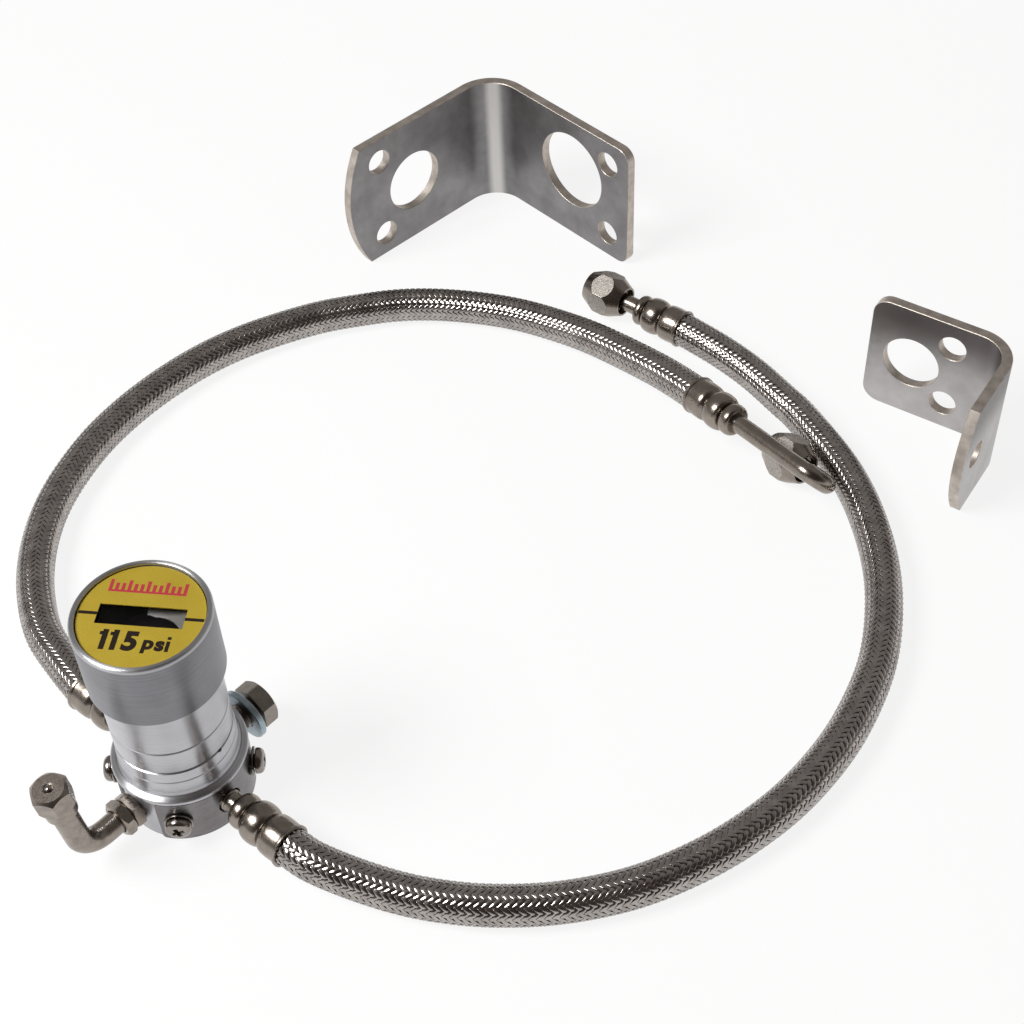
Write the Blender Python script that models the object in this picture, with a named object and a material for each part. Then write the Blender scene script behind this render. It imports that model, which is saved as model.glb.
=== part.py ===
"""Tyre pressure equaliser for a pair of dual wheels, with its two braided hoses and two brackets.

A round valve unit stands upright. Two hoses leave its side ports and lie on the same surface, and
each ends in a hexagon nut that turns on its stem and screws onto a tyre valve. A bent fill tube
with a flow-through cap and a hexagon mounting bolt sit in two more ports. Two L-shaped brackets
stand beside the unit, as the kit is laid out before fitting.

Metres, +Z up. The origin is the centre of the valve unit's flat base. A heading is an angle about
+Z from +X, as seen from above.
"""

from math import cos, pi, radians, sin

import bmesh
import bpy
from mathutils import Matrix, Vector

# Clearances
GAP = 0.0003  # between pieces that touch or run in each other
ROD_GAP = 0.0006  # between the piston's rod and the adjusting ring it runs through

# Numbers of sides of the round pieces
BODY_SIDES = 40
INNER_SIDES = 32
FITTING_SIDES = 20
SMALL_SIDES = 16
BORE_SIDES = 12

# Valve body, port band and neck
BAND_RADIUS = 0.0194
BAND_SHEET = 0.0008
BAND_HEIGHT = 0.0167
BAND_LIFT = 0.0009
BAND_OPENING = (-162, -108)  # headings between which the band is open, in degrees
BODY_RADIUS = BAND_RADIUS - BAND_SHEET - GAP
PORT_HEIGHT = 0.0097  # of the eight side ports above the base
EDGE_BREAK = 0.0004
FLANGE_LOW = BAND_LIFT + BAND_HEIGHT + GAP
FLANGE_EDGE = 0.0010
FLANGE_RADIUS = 0.0196
FLANGE_SLOPE = 0.00195
NECK_RADIUS = 0.0172
NECK_STEP_HEIGHT = 0.0252
SHOULDER_RADIUS = 0.0169
SHOULDER_HEIGHT = 0.02975
SPIGOT_RADIUS = 0.0144
SPIGOT_HEIGHT = 0.0073
CHAMBER_RADIUS = 0.0124
CHAMBER_FLOOR = 0.0140
SEAL_GROOVE_DEPTH = 0.0011
SEAL_GROOVE_WIDTH = 0.0020
SEAL_GROOVE_RISE = 0.0018

# Spring housing: the turned cap
HOUSING_LOW = SHOULDER_HEIGHT + GAP
HOUSING_RADIUS = 0.01685
HOUSING_GROOVE_HEIGHT = 0.03855
HOUSING_GROOVE = 0.0004
HOUSING_STEP_HEIGHT = 0.0540
HOUSING_STEP_RISE = 0.0013
HOUSING_TOP_RADIUS = 0.01905
HOUSING_HEIGHT = 0.0785
RIM_ROUNDING = 0.0007
RIM_WALL = 0.00165
HOUSING_BORE = SPIGOT_RADIUS + GAP
LABEL_RECESS = 0.0010
LABEL_SHEET = 0.0003
LENS_THICKNESS = 0.0022
DIAL_RADIUS = HOUSING_TOP_RADIUS - RIM_WALL - GAP
WINDOW_LENGTH = 0.0232
WINDOW_WIDTH = 0.0062
WINDOW_HEADING = -9

# Piston, rod, indicator and sensing spring
PISTON_TRAVEL = 0.0025
PISTON_RADIUS = CHAMBER_RADIUS - GAP
PISTON_HEIGHT = 0.0080
PISTON_SEAL_WIRE = 0.0009
ROD_RADIUS = 0.0025
INDICATOR_RADIUS = 0.0095
INDICATOR_THICKNESS = 0.0020
INDICATOR_HUB_RADIUS = 0.0045
INDICATOR_HUB_HEIGHT = 0.0030
INDICATOR_CLEARANCE = 0.0047  # to the lens, with the piston at the top of its travel
SPRING_MEAN_RADIUS = 0.0085
SPRING_WIRE = 0.0013
SPRING_TURNS = 7
ADJUSTER_CLEARANCE = 0.0025  # below the indicator's hub
ADJUSTER_THICKNESS = 0.0040
SPANNER_HOLE_RADIUS = 0.0012
SPANNER_HOLE_REACH = 0.0095

# Check valves that shut the two hoses off
CHECK_REACH = 0.0060  # from the unit's axis
CHECK_HEAD_RADIUS = 0.0034
CHECK_HEAD = 0.0017
CHECK_STEM_RADIUS = 0.0009
CHECK_STEM_LENGTH = 0.0050
CHECK_SPRING_RADIUS = 0.0017
CHECK_SPRING_WIRE = 0.00022
CHECK_SPRING_TURNS = 5
POCKET_RADIUS = 0.0025
POCKET_FLOOR = 0.0050
PASSAGE_RADIUS = 0.0014

# Side ports
HOSE_A_HEADING = -42.8
HOSE_B_HEADING = 138
BOLT_HEADING = 46
FILL_HEADING = -134
SCREW_HEADINGS = (0, 90, 180, -90)
PORT_FLOOR = 0.0118  # where the hose and fill ports end, from the unit's axis

# Band screws
SCREW_RADIUS = 0.0020
SCREW_FLOOR = 0.0125
SCREW_HEAD_RADIUS = 0.00415
SCREW_HEAD_EDGE = 0.0008
SCREW_HEAD = 0.0026
SCREW_CROWN_RADIUS = 0.0022
WASHER_RADIUS = 0.0046
WASHER_SHEET = 0.0006

# Mounting bolt and its split lock washer
BOLT_RADIUS = 0.00397
BOLT_ACROSS_FLATS = 0.0127
BOLT_HEAD = 0.0050
BOLT_REACH = 0.0260  # from the unit's axis to the underside of the head
BOLT_FLOOR = 0.0090
BOLT_CHAMFER_SLOPE = 0.55
LOCK_WASHER_RADIUS = 0.0083
LOCK_WASHER_SECTION = 0.0020
LOCK_WASHER_REACH = 0.0218
LOCK_WASHER_OFFSET = 0.0010
LOCK_WASHER_SPLIT = 14  # degrees of the ring left out at the split

# Hoses and their fittings, the same at all four ends
HOSE_RADIUS = 0.00585
HOSE_SPACING = 2 * 2 * HOSE_RADIUS
TAIL_RADIUS = 0.0023
FERRULE_LENGTH = 0.0155
SLEEVE_RADIUS = 0.0066
SLEEVE_LENGTH = 0.0085
BULGE_RADIUS = 0.0065
FERRULE_WAIST_RADIUS = 0.0057
RING_RADIUS = 0.0055
RING_LENGTH = 0.0046
NECK_OF_NIPPLE = 0.0034
NIPPLE_BORE = 0.0012
NIPPLE_RING_REACH = 0.0230
STEM_RADIUS = 0.0030
FLANGE_OF_STEM = 0.0043
FLANGE_THICKNESS = 0.0020

# Swivel nuts
NUT_ACROSS_FLATS = 0.0143
NUT_LENGTH = 0.0155
NUT_END_RADIUS = 0.0054
NUT_CHAMFER_SLOPE = 0.49
NUT_MOUTH_RADIUS = 0.0041
NUT_BACK_WALL = 0.0034
NUT_CAVITY = 0.0032
NUT_SEAL = 0.0016
STEM_BORE_DEPTH = 0.0060  # drilled into the end of the bent stem

# Hose A: the outer loop. Its outlet's straight stem ends in a nut clear of the surface.
HOSE_A_STEM_LENGTH = 0.0047  # that shows between the ring and the nut
HOSE_A_OUTLET = (0.1619, 0.1755, 0.0084)
HOSE_A_OUTLET_HEADING = 139.8
HOSE_A_ROUTE = (
    (0.0389, -0.0345, 0.0088),
    (0.0519, -0.0400, 0.0067),
    (0.0656, -0.0448, 0.0059),
    (0.0807, -0.0482, 0.0059),
    (0.0959, -0.0494, 0.0059),
    (0.1100, -0.0487, 0.0059),
    (0.1251, -0.0459, 0.0059),
    (0.1389, -0.0410, 0.0059),
    (0.1524, -0.0343, 0.0059),
    (0.1655, -0.0256, 0.0059),
    (0.1761, -0.0165, 0.0059),
    (0.1868, -0.0047, 0.0059),
    (0.1948, 0.0067, 0.0059),
    (0.2025, 0.0209, 0.0059),
    (0.2073, 0.0338, 0.0059),
    (0.2108, 0.0492, 0.0059),
    (0.2124, 0.0636, 0.0059),
    (0.2122, 0.0783, 0.0059),
    (0.2102, 0.0947, 0.0059),
    (0.2058, 0.1110, 0.0059),
    (0.1972, 0.1313, 0.0059),
    (0.1924, 0.1396, 0.0059),
    (0.1838, 0.1532, 0.0062),
    (0.1741, 0.1640, 0.0074),
)

# Hose B: the inner loop, which rises to the bent stem at its end.
HOSE_B_OUTLET = (0.1626, 0.1375, 0.0130)
HOSE_B_OUTLET_HEADING = -56.6
HOSE_B_OUTLET_RISE = 7.4
HOSE_B_ROUTE = (
    (-0.0395, 0.0390, 0.0088),
    (-0.0483, 0.0535, 0.0067),
    (-0.0534, 0.0700, 0.0059),
    (-0.0552, 0.0851, 0.0059),
    (-0.0545, 0.1002, 0.0059),
    (-0.0514, 0.1146, 0.0059),
    (-0.0457, 0.1295, 0.0059),
    (-0.0391, 0.1419, 0.0059),
    (-0.0301, 0.1543, 0.0059),
    (-0.0199, 0.1654, 0.0059),
    (-0.0086, 0.1752, 0.0059),
    (0.0037, 0.1832, 0.0059),
    (0.0169, 0.1894, 0.0059),
    (0.0320, 0.1948, 0.0059),
    (0.0462, 0.1976, 0.0059),
    (0.0606, 0.1992, 0.0059),
    (0.0751, 0.1984, 0.0059),
    (0.0910, 0.1950, 0.0060),
    (0.1050, 0.1900, 0.0062),
    (0.1186, 0.1822, 0.0069),
    (0.1300, 0.1736, 0.0080),
    (0.1420, 0.1618, 0.0098),
    (0.1531, 0.1495, 0.0117),
)

# The stem of hose B runs straight, turns back through 180 degrees and ends in its nut.
BEND_START = 0.0316  # from the ring's face
BEND_RADIUS = 0.0060
BEND_SIDE = (0.595, 0.276, -0.755)  # towards the returning leg
NUT_B_START = 0.0092  # from the ring's face to the nut's mouth, along the outgoing leg
BEND_STEPS = 12

# Fill tube, its nut, its valve core and its cap
FILL_TUBE_RADIUS = 0.0036
FILL_BEND_START = 0.0296  # from the unit's axis
FILL_BEND_RADIUS = 0.0080
FILL_LEAN = 6  # degrees that the upright leg leans outwards
FILL_LEG = 0.0237
FILL_NUT_ACROSS_FLATS = 0.0100
FILL_NUT_REACH = 0.0187
FILL_NUT_LENGTH = 0.0066
CAP_ACROSS_FLATS = 0.0100
CAP_LENGTH = 0.0123
CAP_HEXAGON = 0.0060  # length of its hexagon part; below that it is turned down
CAP_ROOF = 0.0016
CAP_SEAL = 0.0010
CAP_FACE_RADIUS = 0.0044
CAP_FOOT_RADIUS = 0.0046
CAP_DIMPLE_RADIUS = 0.0016
CAP_DIMPLE_DEPTH = 0.0005
CAP_PIN_RECESS = 0.0002  # of the pin's end below the cap's face
PIN_RADIUS = 0.00045
PIN_TRAVEL = 0.0012
CORE_RADIUS = 0.0024
CORE_LENGTH = 0.0090
CORE_RECESS = 0.0008
CORE_BORE = 0.0014
CORE_LIP = 0.0006  # at its lower end, under the spring; the pin's collar above is as thick
CORE_POCKET = 0.0030  # room for the pin's seal below the core
PIN_SEAL_RADIUS = 0.0019
PIN_SEAL_THICKNESS = 0.0010
CORE_SPRING_RADIUS = 0.0009
CORE_SPRING_WIRE = 0.0001
CORE_SPRING_TURNS = 5

# Brackets, each bent from one flat blank
SHEET = 0.0035
BOLT_HOLE_RADIUS = 0.00475
LARGE_PLACE = (0.0988, 0.2745)
LARGE_HEADING = 41.4
LARGE_HEIGHT = 0.0508
LARGE_BEND_RADIUS = 0.0120
LARGE_TONGUE = 0.0649  # leg with the rounded end
LARGE_BULGE = 0.0069
LARGE_LEG = 0.0708  # leg with the square end
LARGE_CORNER = 0.0050
# Its holes: how far from that leg's end, how high, and the radius
LARGE_TONGUE_HOLES = (
    (0.0240, 0.0250, 0.01175),
    (0.0085, 0.0415, BOLT_HOLE_RADIUS),
    (0.0085, 0.0090, BOLT_HOLE_RADIUS),
)
LARGE_LEG_HOLES = (
    (0.0288, 0.0290, 0.01530),
    (0.0103, 0.0412, BOLT_HOLE_RADIUS),
    (0.0103, 0.0100, BOLT_HOLE_RADIUS),
)
SMALL_PLACE = (0.2595, 0.1194)
SMALL_HEADING = -35.2
SMALL_HEIGHT = 0.04445
SMALL_BEND_RADIUS = 0.0100
SMALL_TONGUE = 0.0327
SMALL_BULGE = 0.0065
SMALL_LEG = 0.0474
SMALL_CORNER = 0.0060
SMALL_LEG_HOLES = (
    (0.0155, 0.0222, 0.00990),
    (0.0286, 0.0346, BOLT_HOLE_RADIUS),
    (0.0286, 0.0102, BOLT_HOLE_RADIUS),
)
SMALL_TONGUE_HOLES = ((0.0047, 0.0222, BOLT_HOLE_RADIUS),)
BEND_SLICES = 8


# ---------------------------------------------------------------- scene, materials and placing

for leftover in list(bpy.data.objects):
    bpy.data.objects.remove(leftover, do_unlink=True)


def make_material(name, colour, roughness, metallic, alpha=1.0):
    """A Principled material; the colour is sRGB, 0 to 255."""
    material = bpy.data.materials.new(name)
    material.use_nodes = True
    shader = material.node_tree.nodes["Principled BSDF"]
    linear = [(channel / 255) ** 2.2 for channel in colour]
    shader.inputs["Base Color"].default_value = (*linear, 1)
    shader.inputs["Roughness"].default_value = roughness
    shader.inputs["Metallic"].default_value = metallic
    shader.inputs["Alpha"].default_value = alpha
    return material


TURNED_ALUMINIUM = make_material("turned_aluminium", (196, 198, 202), 0.32, 1)
STAINLESS_SHEET = make_material("stainless_sheet", (134, 131, 129), 0.42, 1)
STAINLESS_BAND = make_material("stainless_band", (150, 146, 146), 0.3, 1)
NICKEL_PLATE = make_material("nickel_plated_brass", (150, 143, 136), 0.22, 1)
SCREW_STEEL = make_material("screw_steel", (160, 154, 150), 0.25, 1)
ZINC_PLATE = make_material("zinc_plated_steel", (150, 172, 182), 0.3, 1)
WIRE_BRAID = make_material("stainless_wire_braid", (118, 112, 108), 0.35, 1)
SPRING_STEEL = make_material("spring_steel", (120, 122, 126), 0.3, 1)
BRASS = make_material("brass", (181, 152, 88), 0.3, 1)
RUBBER = make_material("black_rubber", (26, 26, 28), 0.8, 0)
YELLOW_FILM = make_material("yellow_printed_film", (206, 178, 38), 0.4, 0)
CLEAR_PLASTIC = make_material("clear_plastic", (235, 238, 240), 0.05, 0, 0.3)
BLACK_PLASTIC = make_material("black_plastic", (24, 21, 22), 0.4, 0)


def heading_of(degrees):
    """Unit vector in the ground plane."""
    return Vector((cos(radians(degrees)), sin(radians(degrees)), 0))


def along(start, direction):
    """Placement whose +Z points along the direction, with +X level."""
    up = Vector(direction).normalized()
    side = Vector((0, 0, 1)).cross(up)
    side = side.normalized() if side.length > 1e-6 else Vector((1, 0, 0))
    turn = Matrix((side, up.cross(side), up)).transposed()
    return Matrix.Translation(start) @ turn.to_4x4()


def upright(height=0):
    return Matrix.Translation((0, 0, height))


def at_port(heading, reach):
    """Placement in a side port: +Z points out of the unit, from the reach given."""
    out = heading_of(heading)
    return along(out * reach + Vector((0, 0, PORT_HEIGHT)), out)


def joint_empty(name, place):
    """An empty on a joint's axis, which carries the pieces that move about it."""
    empty = bpy.data.objects.new(name, None)
    empty.empty_display_size = 0.005
    bpy.context.scene.collection.objects.link(empty)
    empty.matrix_world = place
    return empty


def add_object(name, data, material, place, parent=None):
    data.materials.append(material)
    obj = bpy.data.objects.new(name, data)
    bpy.context.scene.collection.objects.link(obj)
    if parent:
        obj.parent = parent
        obj.matrix_parent_inverse = parent.matrix_world.inverted()
    obj.matrix_world = place
    return obj


def add_mesh(name, bm, material, place, parent=None):
    """Finishes the bmesh as an object whose faces point outwards, with its rounds shaded smooth."""
    bmesh.ops.recalc_face_normals(bm, faces=bm.faces)
    mesh = bpy.data.meshes.new(name)
    bm.to_mesh(mesh)
    bm.free()
    mesh.shade_smooth()
    mesh.set_sharp_from_angle(angle=radians(35))
    return add_object(name, mesh, material, place, parent)


# ---------------------------------------------------------------- shapes

def turned(profile, sides):
    """bmesh of a solid turned about Z from (radius, height) points, which may start or end on Z."""
    bm = bmesh.new()
    points = [bm.verts.new((radius, 0, height)) for radius, height in profile]
    edges = [bm.edges.new(pair) for pair in zip(points, points[1:])]
    on_axis = profile[0][0] == 0 and profile[-1][0] == 0
    if not on_axis:
        edges.append(bm.edges.new((points[-1], points[0])))
    bmesh.ops.spin(bm, geom=points + edges, cent=(0, 0, 0), axis=(0, 0, 1), angle=2 * pi,
                   steps=sides, use_merge=True)
    bmesh.ops.remove_doubles(bm, verts=bm.verts, dist=1e-6)
    bmesh.ops.dissolve_degenerate(bm, dist=1e-7, edges=bm.edges)
    return bm


def rod(radius, low, high, sides):
    return turned([(0, low), (radius, low), (radius, high), (0, high)], sides)


def tube(bore, radius, low, high, sides):
    return turned([(bore, low), (radius, low), (radius, high), (bore, high)], sides)


def o_ring(radius, wire, sides, wire_sides=6):
    """Ring of round section: the radius is that of its centre line."""
    angles = [2 * pi * step / wire_sides for step in range(wire_sides)]
    return turned([(radius + wire * cos(a), wire * sin(a)) for a in angles], sides)


def cut(obj, bm, place, operation="DIFFERENCE"):
    """Cuts the object with the bmesh, or keeps what the two share."""
    cutter = add_mesh(f"{obj.name}_cutter", bm, obj.data.materials[0], place)
    cutter.hide_render = True
    cutter.display_type = "WIRE"
    cutter.hide_set(True)
    boolean = obj.modifiers.new(cutter.name, "BOOLEAN")
    boolean.operation = operation
    boolean.solver = "EXACT"
    boolean.object = cutter


def hexagon(name, across_flats, outline, material, place, parent=None):
    """Hexagon bar trimmed to a turned outline of (radius, height) points, flats up and down."""
    low, high = outline[0][1] - GAP, outline[-1][1] + GAP
    bm = bmesh.new()
    bmesh.ops.create_cone(bm, cap_ends=True, segments=6, depth=high - low,
                          radius1=across_flats / 3 ** 0.5, radius2=across_flats / 3 ** 0.5,
                          matrix=Matrix.Translation((0, 0, (low + high) / 2)))
    bar = add_mesh(name, bm, material, place, parent)
    cut(bar, turned([(0, outline[0][1]), *outline, (0, outline[-1][1])], FITTING_SIDES), place,
        "INTERSECT")
    return bar


def chamfered(across_flats, low, high, end_radius, slope):
    """Outline of a hexagon whose two ends are turned to a cone, past its corners in the middle."""
    corner = across_flats / 3 ** 0.5 + GAP
    depth = (corner - end_radius) / slope
    return [(end_radius, low), (corner, low + depth), (corner, high - depth), (end_radius, high)]


def stepped_curve(name, stations, material, resolution=4):
    """Curve object through (point, radius) stations: one bar whose radius changes on the way."""
    curve = bpy.data.curves.new(name, "CURVE")
    curve.dimensions = "3D"
    curve.bevel_depth = 1
    curve.bevel_resolution = resolution
    curve.use_fill_caps = True
    spline = curve.splines.new("POLY")
    spline.points.add(len(stations) - 1)
    for point, (place, radius) in zip(spline.points, stations):
        point.co = (*place, 1)
        point.radius = radius
    return add_object(name, curve, material, Matrix.Identity(4))


def as_mesh(obj):
    """Turns a curve object into a mesh object of the same name, so that it can be drilled."""
    graph = bpy.context.evaluated_depsgraph_get()
    mesh = bpy.data.meshes.new_from_object(obj.evaluated_get(graph))
    name = obj.name
    bpy.data.objects.remove(obj, do_unlink=True)
    bm = bmesh.new()
    bm.from_mesh(mesh)
    bmesh.ops.remove_doubles(bm, verts=bm.verts, dist=1e-7)
    return add_mesh(name, bm, mesh.materials[0], Matrix.Identity(4))


def spring(name, radius, wire, turns, low, high, material, place, parent=None):
    """Coil spring about Z between two heights, its wire's outside touching neither."""
    points_a_turn = 8
    steps = turns * points_a_turn
    rise = (high - low - 2 * wire - 2 * GAP) / steps
    pitch_gap = rise * points_a_turn - 2 * wire
    print(f"{name}: gap between its turns {pitch_gap * 1000:.2f} mm")
    curve = bpy.data.curves.new(name, "CURVE")
    curve.dimensions = "3D"
    curve.bevel_depth = wire
    curve.bevel_resolution = 1
    curve.use_fill_caps = True
    spline = curve.splines.new("POLY")
    spline.points.add(steps)
    for step, point in enumerate(spline.points):
        angle = 2 * pi * step / points_a_turn
        point.co = (radius * cos(angle), radius * sin(angle), low + wire + GAP + rise * step, 1)
    return add_object(name, curve, material, place, parent)


# ---------------------------------------------------------------- valve body, band and screws

valve_body_profile = [
    (0, 0),
    (BODY_RADIUS - EDGE_BREAK, 0),
    (BODY_RADIUS, EDGE_BREAK),
    (BODY_RADIUS, FLANGE_LOW),
    (FLANGE_RADIUS - EDGE_BREAK, FLANGE_LOW),
    (FLANGE_RADIUS, FLANGE_LOW + EDGE_BREAK),
    (FLANGE_RADIUS, FLANGE_LOW + FLANGE_EDGE),
    (NECK_RADIUS, FLANGE_LOW + FLANGE_EDGE + FLANGE_SLOPE),
    (NECK_RADIUS, NECK_STEP_HEIGHT),
    (SHOULDER_RADIUS, NECK_STEP_HEIGHT + NECK_RADIUS - SHOULDER_RADIUS),
    (SHOULDER_RADIUS, SHOULDER_HEIGHT),
    (SPIGOT_RADIUS, SHOULDER_HEIGHT),
    (SPIGOT_RADIUS, SHOULDER_HEIGHT + SEAL_GROOVE_RISE),
    (SPIGOT_RADIUS - SEAL_GROOVE_DEPTH, SHOULDER_HEIGHT + SEAL_GROOVE_RISE),
    (SPIGOT_RADIUS - SEAL_GROOVE_DEPTH, SHOULDER_HEIGHT + SEAL_GROOVE_RISE + SEAL_GROOVE_WIDTH),
    (SPIGOT_RADIUS, SHOULDER_HEIGHT + SEAL_GROOVE_RISE + SEAL_GROOVE_WIDTH),
    (SPIGOT_RADIUS, SHOULDER_HEIGHT + SPIGOT_HEIGHT),
    (CHAMBER_RADIUS, SHOULDER_HEIGHT + SPIGOT_HEIGHT),
    (CHAMBER_RADIUS, CHAMBER_FLOOR),
    (0, CHAMBER_FLOOR),
]
port_body = add_mesh("port_body", turned(valve_body_profile, BODY_SIDES), TURNED_ALUMINIUM,
                     upright())

BEYOND = BAND_RADIUS + 0.002  # a drill starts outside the band
HOSE_PORT_RADIUS = NECK_OF_NIPPLE + GAP
FILL_PORT_RADIUS = FILL_TUBE_RADIUS + GAP
SCREW_HOLE_RADIUS = SCREW_RADIUS + GAP
BOLT_BORE_RADIUS = BOLT_RADIUS + GAP


def drill(obj, heading, radius, floor, sides=SMALL_SIDES):
    cut(obj, rod(radius, floor, BEYOND, sides), at_port(heading, 0))


for heading in (HOSE_A_HEADING, HOSE_B_HEADING):
    drill(port_body, heading, HOSE_PORT_RADIUS, PORT_FLOOR)
    drill(port_body, heading, PASSAGE_RADIUS, CHECK_REACH, BORE_SIDES)
    pocket = rod(POCKET_RADIUS, POCKET_FLOOR, CHAMBER_FLOOR + GAP, SMALL_SIDES)
    cut(port_body, pocket, Matrix.Translation(heading_of(heading) * CHECK_REACH))
drill(port_body, FILL_HEADING, FILL_PORT_RADIUS, PORT_FLOOR)
drill(port_body, FILL_HEADING, PASSAGE_RADIUS, 0, BORE_SIDES)
cut(port_body, rod(PASSAGE_RADIUS, PORT_HEIGHT, CHAMBER_FLOOR + GAP, BORE_SIDES), upright())
drill(port_body, BOLT_HEADING, BOLT_BORE_RADIUS, BOLT_FLOOR)
for heading in SCREW_HEADINGS:
    drill(port_body, heading, SCREW_HOLE_RADIUS, SCREW_FLOOR)

band_section = bmesh.new()
corners = [
    (BAND_RADIUS - BAND_SHEET, BAND_LIFT),
    (BAND_RADIUS, BAND_LIFT),
    (BAND_RADIUS, BAND_LIFT + BAND_HEIGHT),
    (BAND_RADIUS - BAND_SHEET, BAND_LIFT + BAND_HEIGHT),
]
start = heading_of(BAND_OPENING[1])
section_face = band_section.faces.new(
    [band_section.verts.new(start * radius + Vector((0, 0, height))) for radius, height in corners]
)
band_sweep = 360 - (BAND_OPENING[1] - BAND_OPENING[0])
band_steps = round(BODY_SIDES * band_sweep / 360)
bmesh.ops.spin(band_section, geom=[section_face], cent=(0, 0, 0), axis=(0, 0, 1),
               angle=radians(band_sweep), steps=band_steps)
port_band = add_mesh("port_band", band_section, STAINLESS_BAND, upright())
for heading in (HOSE_A_HEADING, HOSE_B_HEADING):
    drill(port_band, heading, HOSE_PORT_RADIUS + GAP, BODY_RADIUS - GAP)
drill(port_band, BOLT_HEADING, BOLT_BORE_RADIUS + GAP, BODY_RADIUS - GAP)
for heading in SCREW_HEADINGS:
    drill(port_band, heading, SCREW_HOLE_RADIUS, BODY_RADIUS - GAP)

WASHER_REACH = BAND_RADIUS + GAP
SCREW_HEAD_REACH = WASHER_REACH + WASHER_SHEET + GAP
screw_profile = [
    (0, SCREW_FLOOR + GAP - SCREW_HEAD_REACH),
    (SCREW_RADIUS, SCREW_FLOOR + GAP - SCREW_HEAD_REACH),
    (SCREW_RADIUS, 0),
    (SCREW_HEAD_RADIUS, 0),
    (SCREW_HEAD_RADIUS, SCREW_HEAD_EDGE),
    (SCREW_HEAD_RADIUS - EDGE_BREAK, SCREW_HEAD_EDGE + 2 * EDGE_BREAK),
    (SCREW_CROWN_RADIUS, SCREW_HEAD),
    (0, SCREW_HEAD),
]
for number, heading in enumerate(SCREW_HEADINGS, 1):
    add_mesh(f"band_screw_{number}", turned(screw_profile, SMALL_SIDES), SCREW_STEEL,
             at_port(heading, SCREW_HEAD_REACH))
    add_mesh(f"band_washer_{number}",
             tube(SCREW_HOLE_RADIUS, WASHER_RADIUS, 0, WASHER_SHEET, SMALL_SIDES), SCREW_STEEL,
             at_port(heading, WASHER_REACH))


# ---------------------------------------------------------------- spring housing and dial

DIAL_SEAT = HOUSING_HEIGHT - LABEL_RECESS - LABEL_SHEET - GAP - LENS_THICKNESS - GAP
housing_profile = [
    (HOUSING_BORE, HOUSING_LOW),
    (HOUSING_RADIUS - EDGE_BREAK, HOUSING_LOW),
    (HOUSING_RADIUS, HOUSING_LOW + EDGE_BREAK),
    (HOUSING_RADIUS, HOUSING_GROOVE_HEIGHT - HOUSING_GROOVE),
    (HOUSING_RADIUS - HOUSING_GROOVE, HOUSING_GROOVE_HEIGHT),
    (HOUSING_RADIUS, HOUSING_GROOVE_HEIGHT + HOUSING_GROOVE),
    (HOUSING_RADIUS, HOUSING_STEP_HEIGHT),
    (HOUSING_TOP_RADIUS, HOUSING_STEP_HEIGHT + HOUSING_STEP_RISE),
    (HOUSING_TOP_RADIUS, HOUSING_HEIGHT - RIM_ROUNDING),
    (HOUSING_TOP_RADIUS - RIM_ROUNDING, HOUSING_HEIGHT),
    (HOUSING_TOP_RADIUS - RIM_WALL, HOUSING_HEIGHT),
    (HOUSING_TOP_RADIUS - RIM_WALL, DIAL_SEAT),
    (HOUSING_BORE, DIAL_SEAT),
]
add_mesh("spring_housing", turned(housing_profile, BODY_SIDES), TURNED_ALUMINIUM, upright())

seal_wire = (SEAL_GROOVE_WIDTH - 2 * GAP) / 2
seal_height = SHOULDER_HEIGHT + SEAL_GROOVE_RISE + SEAL_GROOVE_WIDTH / 2
seal_profile = [
    (SPIGOT_RADIUS - SEAL_GROOVE_DEPTH + GAP, seal_height - seal_wire),
    (SPIGOT_RADIUS, seal_height - seal_wire),
    (SPIGOT_RADIUS, seal_height + seal_wire),
    (SPIGOT_RADIUS - SEAL_GROOVE_DEPTH + GAP, seal_height + seal_wire),
]
add_mesh("housing_seal", turned(seal_profile, INNER_SIDES), RUBBER, upright())

add_mesh("dial_lens", rod(DIAL_RADIUS, 0, LENS_THICKNESS, BODY_SIDES), CLEAR_PLASTIC,
         upright(DIAL_SEAT + GAP))
label_height = HOUSING_HEIGHT - LABEL_RECESS - LABEL_SHEET
dial_label = add_mesh("dial_label", rod(DIAL_RADIUS, 0, LABEL_SHEET, BODY_SIDES), YELLOW_FILM,
                      upright(label_height))
window = bmesh.new()
bmesh.ops.create_cube(window, size=1)
bmesh.ops.scale(window, vec=(WINDOW_LENGTH, WINDOW_WIDTH, 4 * LABEL_SHEET), verts=window.verts)
cut(dial_label, window, upright(label_height) @ Matrix.Rotation(radians(WINDOW_HEADING), 4, "Z"))


# ---------------------------------------------------------------- piston, indicator and spring

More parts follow.
